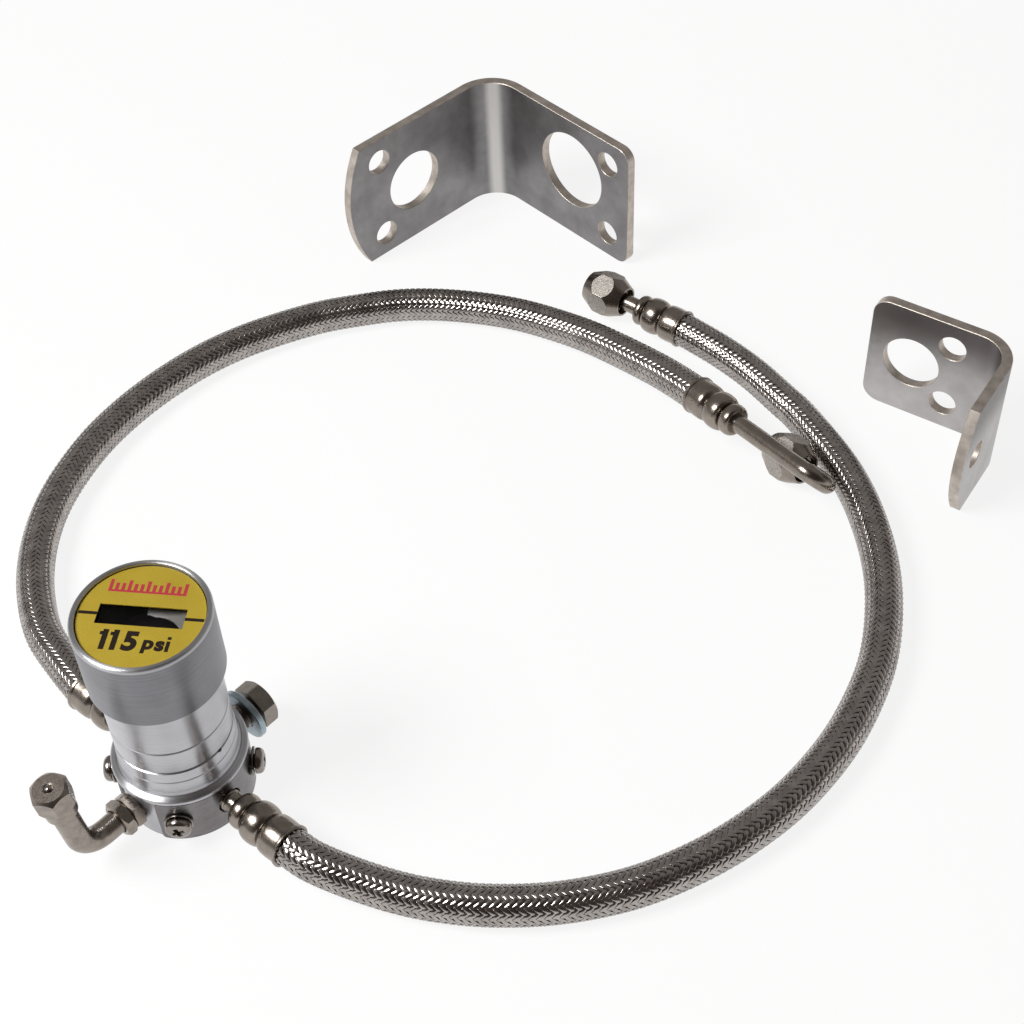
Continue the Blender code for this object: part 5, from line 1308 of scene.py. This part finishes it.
# Satin nickel over brass: the tube and the cap are brushed by tumbling, so they shine softly.
satin_nickel = metal_finish("satin_nickel_plate", "#867d75", "#9c938a", 0.30, 0.003,
                            (0.0005, 0.0005, 0.0005), 0.000003)

out = heading_of(FILL_HEADING)
port_start = out * 0.0121 + PORT_MIDDLE
bend_point = out * FILL_BEND_START + PORT_MIDDLE
fill_centre = bend_point + UP * FILL_BEND_RADIUS
lean_cos, lean_sin = cos(radians(FILL_LEAN)), sin(radians(FILL_LEAN))
leg_direction = out * lean_sin + UP * lean_cos
leg_end = fill_centre + (out * lean_cos - UP * lean_sin) * FILL_BEND_RADIUS + leg_direction * FILL_LEG
leg_place = along(leg_end, leg_direction)
fill_bm = bent_bar(FILL_TUBE_RADIUS, 64, along(port_start, out), [
    (bend_point - port_start,),
    (fill_centre, out.cross(UP), radians(90 - FILL_LEAN), 24),
    (leg_direction * FILL_LEG,),
])
fill_bm = carved(fill_bm, bar(0.0027, -0.0128, 0.0003, 48, leg_place))
finish_piece("bent_fill_tube", fill_bm, satin_nickel, "nickel_plated_brass", "valve", "fill_elbow")

# The nut is seen as two halves, each with its own chamfers and the lower one turned on a little.
halves = []
for low, high, inset, slope, twist in ((FILL_NUT_SPLIT + 0.0001, FILL_NUT_LENGTH, 0.0002, 1.2, 0),
                                       (0, FILL_NUT_SPLIT, 0.0001, 1.6, FILL_NUT_TWIST)):
    outline = chamfered(FILL_NUT_ACROSS_FLATS, low, high, FILL_NUT_ACROSS_FLATS / 2 - inset, slope)
    half_bm = hexagon(FILL_NUT_ACROSS_FLATS, outline)
    half_bm.transform(turned_by(twist))
    hole = bar(FILL_TUBE_RADIUS + CLEAR, -0.001, FILL_NUT_LENGTH + 0.001, 64, Matrix())
    halves.append(carved(half_bm, hole))
finish_piece("fill_tube_nut", joined(*halves), satin_nickel, "nickel_plated_brass", "valve",
             "fill_elbow_nut", place=at_port(FILL_HEADING, FILL_NUT_REACH))

cap_corner = corner_of(CAP_ACROSS_FLATS)
cap_foot = CAP_FACE - CAP_LENGTH
cap_hole = FILL_TUBE_RADIUS + CLEAR
pin_hole = CAP_PIN_HEAD + 0.0002
cap_outline = [
    (CAP_FOOT_RADIUS - 0.0003, cap_foot), (CAP_FOOT_RADIUS, cap_foot + 0.0003),
    (CAP_FOOT_RADIUS, CAP_FACE - CAP_HEXAGON - 2 * (cap_corner - CAP_FOOT_RADIUS)),
    (cap_corner, CAP_FACE - CAP_HEXAGON), (cap_corner, CAP_FACE - (cap_corner - CAP_FACE_RADIUS)),
    (CAP_FACE_RADIUS, CAP_FACE),
]
cap_bore = [
    (0, cap_foot - 0.0003), (cap_hole, cap_foot - 0.0003), (cap_hole, 0.0016), (0.00065, 0.0016),
    (0.00065, 0.0018), (pin_hole, 0.0018), (pin_hole, CAP_FACE - 0.0002), (0.0016, CAP_FACE),
    (0.0019, CAP_FACE + 0.0003), (0, CAP_FACE + 0.0003),
]
cap_bm = carved(hexagon(CAP_ACROSS_FLATS, cap_outline), turned(cap_bore, 64))
finish_piece("hexagon_fill_cap", cap_bm, satin_nickel, "nickel_plated_brass", "fill_cap", "fill_cap",
             place=leg_place, sharp=20)

# The cap's pin has a domed end that stands a little proud of the face and a collar inside the cap.
cap_pin_profile = [
    (0, CAP_FACE + 0.00045), (0.0005, CAP_FACE + 0.00037), (0.0009, CAP_FACE + 0.0001),
    (CAP_PIN_HEAD, CAP_FACE - 0.00005), (CAP_PIN_HEAD, CAP_FACE - 0.0001),
    (CAP_PIN_RADIUS, CAP_FACE - 0.0001), (CAP_PIN_RADIUS, 0.0013), (CAP_PIN_COLLAR, 0.0013),
    (CAP_PIN_COLLAR, 0.0011), (CAP_PIN_RADIUS, 0.0011), (CAP_PIN_RADIUS, -0.0005), (0, -0.0005),
]
finish_piece("domed_cap_pin", turned(cap_pin_profile, 64), plated_steel, "screw_steel", "cap_pin",
             "fill_cap_pin", place=leg_place)


# ------------------------------------------------------------------ brackets
# Two L-shaped brackets, laser cut with their holes from 3.5 mm stainless sheet and bent. The rolled
# faces are dull; the cut edges are lighter and finely ribbed.

SHEET = 0.0035
BOLT_HOLE = 0.00475
HOLE_SIDES = 72
BEND_STEPS = 28
EDGE_EASING = 0.00015

# Hot-rolled and pickled stainless sheet: mid grey, soft, with faint cloudy patches.
sheet_steel = metal_finish("pickled_stainless_sheet", "#7c797a", "#918e8f", 0.40, 0.011,
                           (0.0011, 0.0011, 0.0007), 0.000010, spread=0.05)
# The small bracket's sheet is a lighter copy of the same steel: painted light.
small_sheet_steel = metal_finish("pickled_stainless_sheet_with_painted_light", "#a9a6a5", "#bbb8b7", 0.38,
                                 0.011, (0.0011, 0.0011, 0.0007), 0.000010, spread=0.05)

# A light line is painted along the inside of the large bracket's bend: a painted highlight.
BEND_LINE = (0.0990, 0.2696, 0.0)
tree = sheet_steel.node_tree
flat_place = add_node(tree, "VectorMath", {0: object_place(tree), 1: (1, 1, 0)}, operation="MULTIPLY")
from_bend = add_node(tree, "VectorMath", {0: flat_place, 1: BEND_LINE}, operation="DISTANCE").outputs["Value"]
shaded_along(sheet_steel, from_bend, 0.0042, 0.0008, "#cdcac8")

# The small bracket is painted darker towards its upper edge: painted shade.
shaded_along(small_sheet_steel, height_on(small_sheet_steel), 0.022, 0.041, "#6d6867")

# Its cut edge: the cutting beam leaves fine ribs across the thickness, bright on top of each.
cut_edge = metal_finish("cut_stainless_edge", "#b0a79e", "#cfc6bd", 0.50, 0.004,
                        (0.0004, 0.0004, 0.004), 0.00002)


def bulged_end(along_strip, sign, height, bulge, steps=28):
    """Arc of a rounded end, from the strip's low edge to its high edge when sign is +1."""
    radius = (height ** 2 / 4 + bulge ** 2) / (2 * bulge)
    points = []
    for step in range(steps + 1):
        offset = height * (step / steps - 0.5)
        reach = (radius ** 2 - offset ** 2) ** 0.5 - (radius - bulge)
        points.append((along_strip + sign * reach, height / 2 + sign * offset))
    return points


def square_end(along_strip, sign, height, corner, steps=10):
    """Square end with two rounded corners, from the low edge to the high edge when sign is +1."""
    points = []
    for turn, edge in ((-90, corner), (0, height - corner)):
        for step in range(steps + 1):
            angle = radians(turn + 90 * step / steps)
            points.append((along_strip + sign * (corner * cos(angle) - corner),
                           height / 2 + sign * (edge - height / 2 + corner * sin(angle))))
    return points


def bracket(word, sheet, height, bend_radius, first_leg, second_leg, first_end, second_end, holes, place,
            heading):
    """Blank bent by 90 degrees: the legs' inner faces meet at the origin, along -X and along -Y.

    A hole has its reach along the blank, its height and its radius; a reach below zero is counted
    from the blank's far end.
    """
    bend_from = first_leg - bend_radius
    bend_to = bend_from + bend_radius * pi / 2
    length = bend_to + second_leg - bend_radius
    loops = [first_end(0, -1, height) + second_end(length, 1, height)]
    loops += [ring_of(((length if s < 0 else 0) + s, z), radius, HOLE_SIDES) for s, z, radius in holes]
    cuts = [bend_from + (bend_to - bend_from) * step / BEND_STEPS for step in range(BEND_STEPS + 1)]
    bm = sheet_blank(loops, SHEET, EDGE_EASING, cuts)
    for vert in bm.verts:
        s, thick, z = vert.co
        if s <= bend_from:
            vert.co = (s - first_leg, thick, z)
        elif s >= bend_to:
            vert.co = (thick, bend_to - bend_radius - s, z)
        else:
            angle = pi / 2 - (s - bend_from) / bend_radius
            reach = bend_radius + thick
            vert.co = (reach * cos(angle) - bend_radius, reach * sin(angle) - bend_radius, z)
    finish_piece(f"{word}_mounting_bracket", bm, sheet, "stainless_sheet", f"{word}_bracket",
                 f"bracket_{word}", place=moved(*place, 0) @ turned_by(heading), second=cut_edge)


bracket("large", sheet_steel, height=0.0508, bend_radius=0.0120, first_leg=0.0649, second_leg=0.0708,
        first_end=lambda s, sign, height: bulged_end(s, sign, height, 0.0069),
        second_end=lambda s, sign, height: square_end(s, sign, height, 0.0050),
        holes=[(0.0240, 0.0250, 0.01175), (0.0085, 0.0415, BOLT_HOLE), (0.0085, 0.0090, BOLT_HOLE),
               (-0.0288, 0.0290, 0.01530), (-0.0103, 0.0412, BOLT_HOLE), (-0.0103, 0.0100, BOLT_HOLE)],
        place=(0.0988, 0.2745), heading=41.4)
bracket("small", small_sheet_steel, height=0.04445, bend_radius=0.0100, first_leg=0.0474, second_leg=0.0327,
        first_end=lambda s, sign, height: square_end(s, sign, height, 0.0060),
        second_end=lambda s, sign, height: bulged_end(s, sign, height, 0.0065),
        holes=[(0.0155, 0.0222, 0.00990), (0.0286, 0.0346, BOLT_HOLE), (0.0286, 0.0102, BOLT_HOLE),
               (-0.0047, 0.0222, BOLT_HOLE)],
        place=(0.2595, 0.1194), heading=-35.2)


# ------------------------------------------------------------------ inner pieces
# What the closed valve hides: turned brass, spring steel and moulded rubber. The pieces keep their
# CAD shapes, apart from the two springs that shorten as the valve works; those are wound here.

# Turned brass: yellow, bright, with rings from the tool.
brass = metal_finish("turned_brass", "#b08f4e", "#c5a562", 0.26, 0.005, (0.5, 0.5, 0.0003), 0.000008)
# Hard-drawn spring wire: dark grey with lines drawn along it.
spring_wire = metal_finish("hard_drawn_spring_wire", "#6f7276", "#85888c", 0.30, 0.003,
                           (0.0004, 0.0004, 0.0004), 0.000006)
# Moulded nitrile rubber: black and dull with a fine grain.
nitrile = moulded_finish("moulded_nitrile_rubber", "#141415", "#232325", 0.7, 0.0004, 3, 0.00002, 0.8)
INNER_FINISHES = {
    brass: ("piston", "adjusting_ring", "check_valve_a", "check_valve_b", "fill_core", "fill_core_pin"),
    spring_wire: ("check_spring_a", "check_spring_b"),
    nitrile: ("piston_seal", "housing_seal", "fill_cap_seal", "swivel_seal_a", "swivel_seal_b"),
}
for material, names in INNER_FINISHES.items():
    for name in names:
        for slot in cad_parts[name].material_slots:
            slot.material = material


STEPS_TO_A_COIL = 24


def coil(radius, wire_radius, turns, low, high):
    """Round wire wound about Z, that reaches from the one height to the other."""
    steps = turns * STEPS_TO_A_COIL
    bm = bmesh.new()
    start = moved(radius, 0, low + wire_radius) @ Matrix.Rotation(pi / 2, 4, "X")
    bmesh.ops.create_circle(bm, segments=12, radius=wire_radius, matrix=start)
    bmesh.ops.spin(bm, geom=bm.verts[:] + bm.edges[:], cent=(0, 0, 0), axis=(0, 0, 1),
                   dvec=(0, 0, (high - low - 2 * wire_radius) / steps), angle=2 * pi * turns, steps=steps)
    bmesh.ops.holes_fill(bm, edges=[edge for edge in bm.edges if edge.is_boundary])
    return bm


# The sensing spring stands between the piston and the adjusting ring and shortens as the piston rises.
SENSING_SPRING_RADIUS = 0.0085
SENSING_WIRE_RADIUS = 0.0013
SENSING_COILS = 7
spring_low, spring_high = (corner.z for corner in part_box("sensing_spring"))
sensing_bm = coil(SENSING_SPRING_RADIUS, SENSING_WIRE_RADIUS, SENSING_COILS, spring_low, spring_high)
sensing_spring = finish_piece("wound_sensing_spring", sensing_bm, spring_wire, "spring_steel", "valve",
                              "sensing_spring")
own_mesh(sensing_spring)

# The core's spring stands on the core's lower lip and shortens as the pin's collar is pressed down.
CORE_SPRING_RADIUS = 0.0009
CORE_WIRE_RADIUS = 0.0001
CORE_COILS = 5
CORE_SPRING_LOW = -0.0089
CORE_SPRING_HIGH = -0.0035
core_bm = coil(CORE_SPRING_RADIUS, CORE_WIRE_RADIUS, CORE_COILS, CORE_SPRING_LOW, CORE_SPRING_HIGH)
core_spring = finish_piece("wound_core_spring", core_bm, spring_wire, "spring_steel", "valve",
                           "fill_core_spring", place=leg_place)
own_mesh(core_spring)
